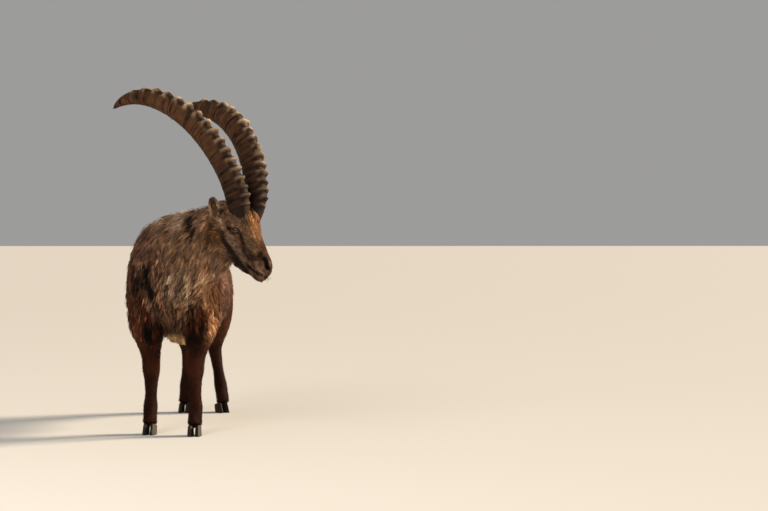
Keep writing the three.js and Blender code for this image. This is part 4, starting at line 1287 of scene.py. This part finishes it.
# Neighbouring roots share a tuft: cells of a jittered lattice, coarse in long hair, fine in short
FINEST_TUFT, WIDEST_TUFT = 4.0, 13.0
cell = np.clip(length * 0.21, FINEST_TUFT, WIDEST_TUFT)
squeezed = drawn_out(2.4)
size_step = np.round(np.log2(cell / FINEST_TUFT) * 2).astype(int)
tuft_of = np.zeros(count, np.int64)
for step in np.unique(size_step):
    mine = size_step == step
    place = squeezed[mine] / (FINEST_TUFT * 2 ** (step / 2))
    low = np.floor(place).astype(np.int64)
    nearest, chosen = np.full(mine.sum(), np.inf), np.zeros((mine.sum(), 3), np.int64)
    for offset in np.ndindex(3, 3, 3):
        cells = low + offset - 1
        centre = cells + np.stack([lattice(cells, seed) for seed in (31, 32, 33)], 1)
        distance = ((place - centre) ** 2).sum(1)
        closer = distance < nearest
        nearest[closer], chosen[closer] = distance[closer], cells[closer]
    tuft_of[mine] = (chosen + 4096) @ np.array([1, 8192, 8192**2]) * 64 + step
_, tuft_of = np.unique(tuft_of, return_inverse=True)
tufts = tuft_of.max() + 1


def tuft_mean(values):
    """Mean over each root's tuft, given back to the roots."""
    total = gathered(tuft_of, values.reshape(count, -1), tufts)
    return (total / np.bincount(tuft_of, minlength=tufts)[:, None])[tuft_of].reshape(values.shape)


def turned(vector, axis, angle):
    """A vector square to its axis, turned about it."""
    return vector * np.cos(angle)[:, None] + np.cross(axis, vector) * np.sin(angle)[:, None]


tuft_chance = chance.normal(size=(tufts, 4))[tuft_of]
own_chance = chance.normal(size=(count, 5))
loose = ease(length, 14, 48)
# Which way each wisp leans, how far it runs and how high it rises
swirl = (noise(root, 110, 51) - 0.5) * 0.8 + (noise(root, 45, 52) - 0.5) * 0.35 * loose
swirl = swirl * (0.35 + 0.65 * loose) + tuft_chance[:, 0] * 0.12 + own_chance[:, 0] * 0.08
direction = turned(lie, out, swirl)
run = length * np.exp(0.16 * tuft_chance[:, 1] + 0.18 * own_chance[:, 1])
rise = depth * np.clip(0.80 + 0.24 * tuft_chance[:, 2] + 0.18 * own_chance[:, 2], 0.3, 1.35)
stray = (own_chance[:, 2] > 1.35) * loose
rise = np.minimum(np.maximum(rise, 0.9), 0.42 * run) * (1 + 0.25 * stray)
run *= 1 + 0.15 * stray
middle = root + direction * (run * 0.46)[:, None] + out * (rise * 0.85)[:, None]
tip = root + direction * (run * 0.97)[:, None] + out * rise[:, None]
curl = run * (0.05 * tuft_chance[:, 3] + 0.03 * own_chance[:, 3]) * loose
middle += np.cross(out, direction) * curl[:, None] * 0.5
gather = 0.35 + 0.42 * loose
tip += (tuft_mean(tip) - tip) * gather[:, None]
middle += (tuft_mean(middle) - middle) * (gather * 0.35)[:, None]
on_ears = (leading >= EARS.start)[:, None]
for points, want in ((middle, rise * 0.78), (tip, rise * (0.86 - 0.14 * loose))):
    off = surface_distance(points) - HEAD_SCALE * face_relief(points)
    points += np.where(on_ears, 0, out * np.clip(want - off, -60, 60)[:, None])

# Each wisp's colour: the coat's own, lighter and darker by tuft and streak, bleached at the tip
colour = ear_colour(coat_colour(root, weights), [near(form, root) for form in EAR_FORMS])
streak = 0.6 * noise(drawn_out(5), 17, 61) + 0.4 * noise(drawn_out(4), 7, 62)
light = 0.32 * chance.normal(size=tufts)[tuft_of] * (0.4 + 0.6 * loose) + 0.14 * own_chance[:, 4]
busy = 1 + 0.9 * np.exp(-(((root - (0, -150, 600)) / (150, 100, 130)) ** 2).sum(1))
light = np.exp(busy * (light + 2.0 * (streak - 0.5) * (0.35 + 0.65 * loose)))
flecks = 1.5 * (noise(drawn_out(2.0), 3.4, 63) - 0.5) + 1.1 * (noise(root, 8, 64) - 0.5)
light *= np.exp(flecks * (leading >= HEAD))
colour = colour * light[:, None]
faded = ease(weights[:, NECK], 0.2, 0.8) + 0.35 * weights[:, TRUNK]
straw = faded * loose * ease(streak + 0.08 * own_chance[:, 2], 0.47, 0.64) * 0.8
straw *= ease(colour.mean(1), 0.02, 0.09)
tip_colour = laid_over(colour * (1.35 - 0.15 * weights[:, [HEAD]]), "#c4a78e", straw)

# A wisp has three points at its root, three at its bend and one at its tip
sideways = unit(np.cross(out, direction))
half = (width * np.exp(0.16 * own_chance[:, 3]))[:, None]
base = root - out * 1.5
across, thick = sideways * half, out * half * 0.55
wisps = np.stack([base - across * 0.7, base + across * 0.7, base + thick * 0.7,
                  middle - across * 0.85, middle + across * 0.85, middle + thick, tip], 1)
WISP_FACES = np.array([(0, 2, 1), (0, 1, 4), (0, 4, 3), (1, 2, 5), (1, 5, 4), (2, 0, 3), (2, 3, 5),
                       (3, 4, 6), (4, 5, 6), (5, 3, 6)])
WISP_PATCH = np.array([(-1, -1), (1, -1), (0, -1), (-1, 0.2), (1, 0.2), (0, 0.2), (0, 1)]) * 0.0015
MOST_WISPS = 19500

# Goat hair: dry and matt, darker at the root than at the tip, flecked about every 2.5 mm
hair_material, shader = new_material("goat_hair", Roughness=0.8, IOR=1.55, Specular_IOR_Level=0.12)
where = add_node(hair_material, "ShaderNodeTexCoord", {})
specks = add_node(hair_material, "ShaderNodeTexNoise", {"Scale": 420.0, "Detail": 2.0},
                  {"Vector": where.outputs["Object"]})
tint_with(hair_material, shader, "Coat", specks.outputs["Fac"], 0.3, 0.7, 0.72)


def unwrap_places(mine, numbers):
    """Each root's place on the piece's unwrap: every form is an upright strip, round it by along it."""
    places = np.zeros((len(mine), 2))
    for strip, number in enumerate(numbers):
        here = leading[mine] == number
        if not here.any():
            continue
        _, along, angle, _ = near(FORMS[NAMES[number]], root[mine[here]])
        low, high = along.min(), along.max() + 1e-6
        places[here, 0] = (strip + 0.01 + 0.98 * (angle / (2 * math.pi) + 0.5)) / len(numbers)
        places[here, 1] = 0.005 + 0.99 * (along - low) / (high - low)
    return places


def coat_piece(name, mine, numbers):
    """Joins the wisps of one region into a mesh with its colours and its unwrap."""
    mine = np.flatnonzero(mine)
    faces = (WISP_FACES[None] + 7 * np.arange(len(mine))[:, None, None]).reshape(-1, 3)
    made = mesh_object(name, wisps[mine].reshape(-1, 3), faces.ravel(), np.full(len(faces), 3),
                       hair_material)
    # Roots at 0.28 of the wisp's colour: the darker undercoat, deepened as painted shade low in the
    # coat.
    shades = np.stack([colour[mine] * 0.28] * 3 + [colour[mine] * 0.9] * 3 + [tip_colour[mine]], 1)
    add_attribute(made.data, "Coat", "FLOAT_COLOR", shades.reshape(-1, 3))
    flat = (unwrap_places(mine, numbers)[:, None] + WISP_PATCH[None]).reshape(-1, 2)
    layer = made.data.uv_layers.new(name="OFBake")
    layer.uv.foreach_set("vector", flat[faces.ravel()].astype(np.float32).ravel())
    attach(made, "root")


# Each region is cut along a direction into pieces with the same number of wisps
for region, forms, slot, across_cut in (
        ("trunk_coat", ["trunk"], "body_coat", -AHEAD), ("neck_coat", ["neck"], "neck_coat", noseward),
        ("leg_coat", NAMES[LEGS], "leg_coat", UP), ("face_coat", ["head"], "face_coat", leftward),
        ("ear_coat", NAMES[EARS], "face_coat", UP), ("tail_coat", ["tail"], "body_coat", UP)):
    numbers = [NAMES.index(name) for name in forms]
    mine = np.isin(leading, numbers)
    key = root @ across_cut
    pieces = math.ceil(mine.sum() / MOST_WISPS)
    band = np.searchsorted(np.quantile(key[mine], np.linspace(0, 1, pieces + 1)[1:-1]), key)
    for number in range(pieces):
        coat_piece(f"{region}_{number + 1}", mine & (band == number), numbers)

# The studio. A plain pale floor, a pale room, a broad warm lamp from the right and a softer one
# from the left. The camera looks from in front, a little above the withers and to its left.
# Place in the body's millimetres, bearing to the right and dip below level in radians
CAMERA_PLACE = np.array([813.0, -7737.0, 953.0])
CAMERA_BEARING = math.radians(0.637)
CAMERA_DIP = math.radians(1.437)

FLOOR_HALF = 40
floor_mesh = bpy.data.meshes.new("floor")
floor_mesh.from_pydata([(-FLOOR_HALF, -FLOOR_HALF, 0), (FLOOR_HALF, -FLOOR_HALF, 0),
                        (FLOOR_HALF, FLOOR_HALF, 0), (-FLOOR_HALF, FLOOR_HALF, 0)], [], [(0, 1, 2, 3)])
# Matt emulsion on a flat floor: an even pale grey with no gloss
floor_colour = (*to_linear("#bfbfbd"), 1)
floor_mesh.materials.append(new_material("painted_floor", Base_Color=floor_colour, Roughness=0.9)[0])
floor = in_scene("floor", floor_mesh)

world = bpy.data.worlds.new("room")
bpy.context.scene.world = world
world.use_nodes = True
world.node_tree.nodes["Background"].inputs["Color"].default_value = (*to_linear("#e7e6e5"), 1)
world.node_tree.nodes["Background"].inputs["Strength"].default_value = 0.42
bpy.context.scene.view_settings.view_transform = "Standard"


def lamp(name, kind, power, code, turn):
    """A light of a kind, in the middle of the scene, turned about X and Z by angles in degrees."""
    light = bpy.data.lights.new(name, kind)
    light.energy = power
    light.color = to_linear(code)
    made = in_scene(name, light)
    made.rotation_euler = (math.radians(turn[0]), 0, math.radians(turn[1]))
    return made


lamp("key", "SUN", 8.5, "#ffeace", (66, 112)).data.angle = math.radians(18)
fill = lamp("fill", "AREA", 150, "#fff8ef", (60.85, -22.62))
fill.location = (-2.0, -4.8, 3.6)
fill.data.size = 2.6

camera_data = bpy.data.cameras.new("camera")
camera_data.sensor_width = 36
camera_data.lens = 85
camera_data.clip_end = 200
camera = in_scene("camera", camera_data)
camera.location = (CAMERA_PLACE + TO_FRAME) * MM
camera.rotation_euler = (math.pi / 2 - CAMERA_DIP, 0, -CAMERA_BEARING)
bpy.context.scene.camera = camera
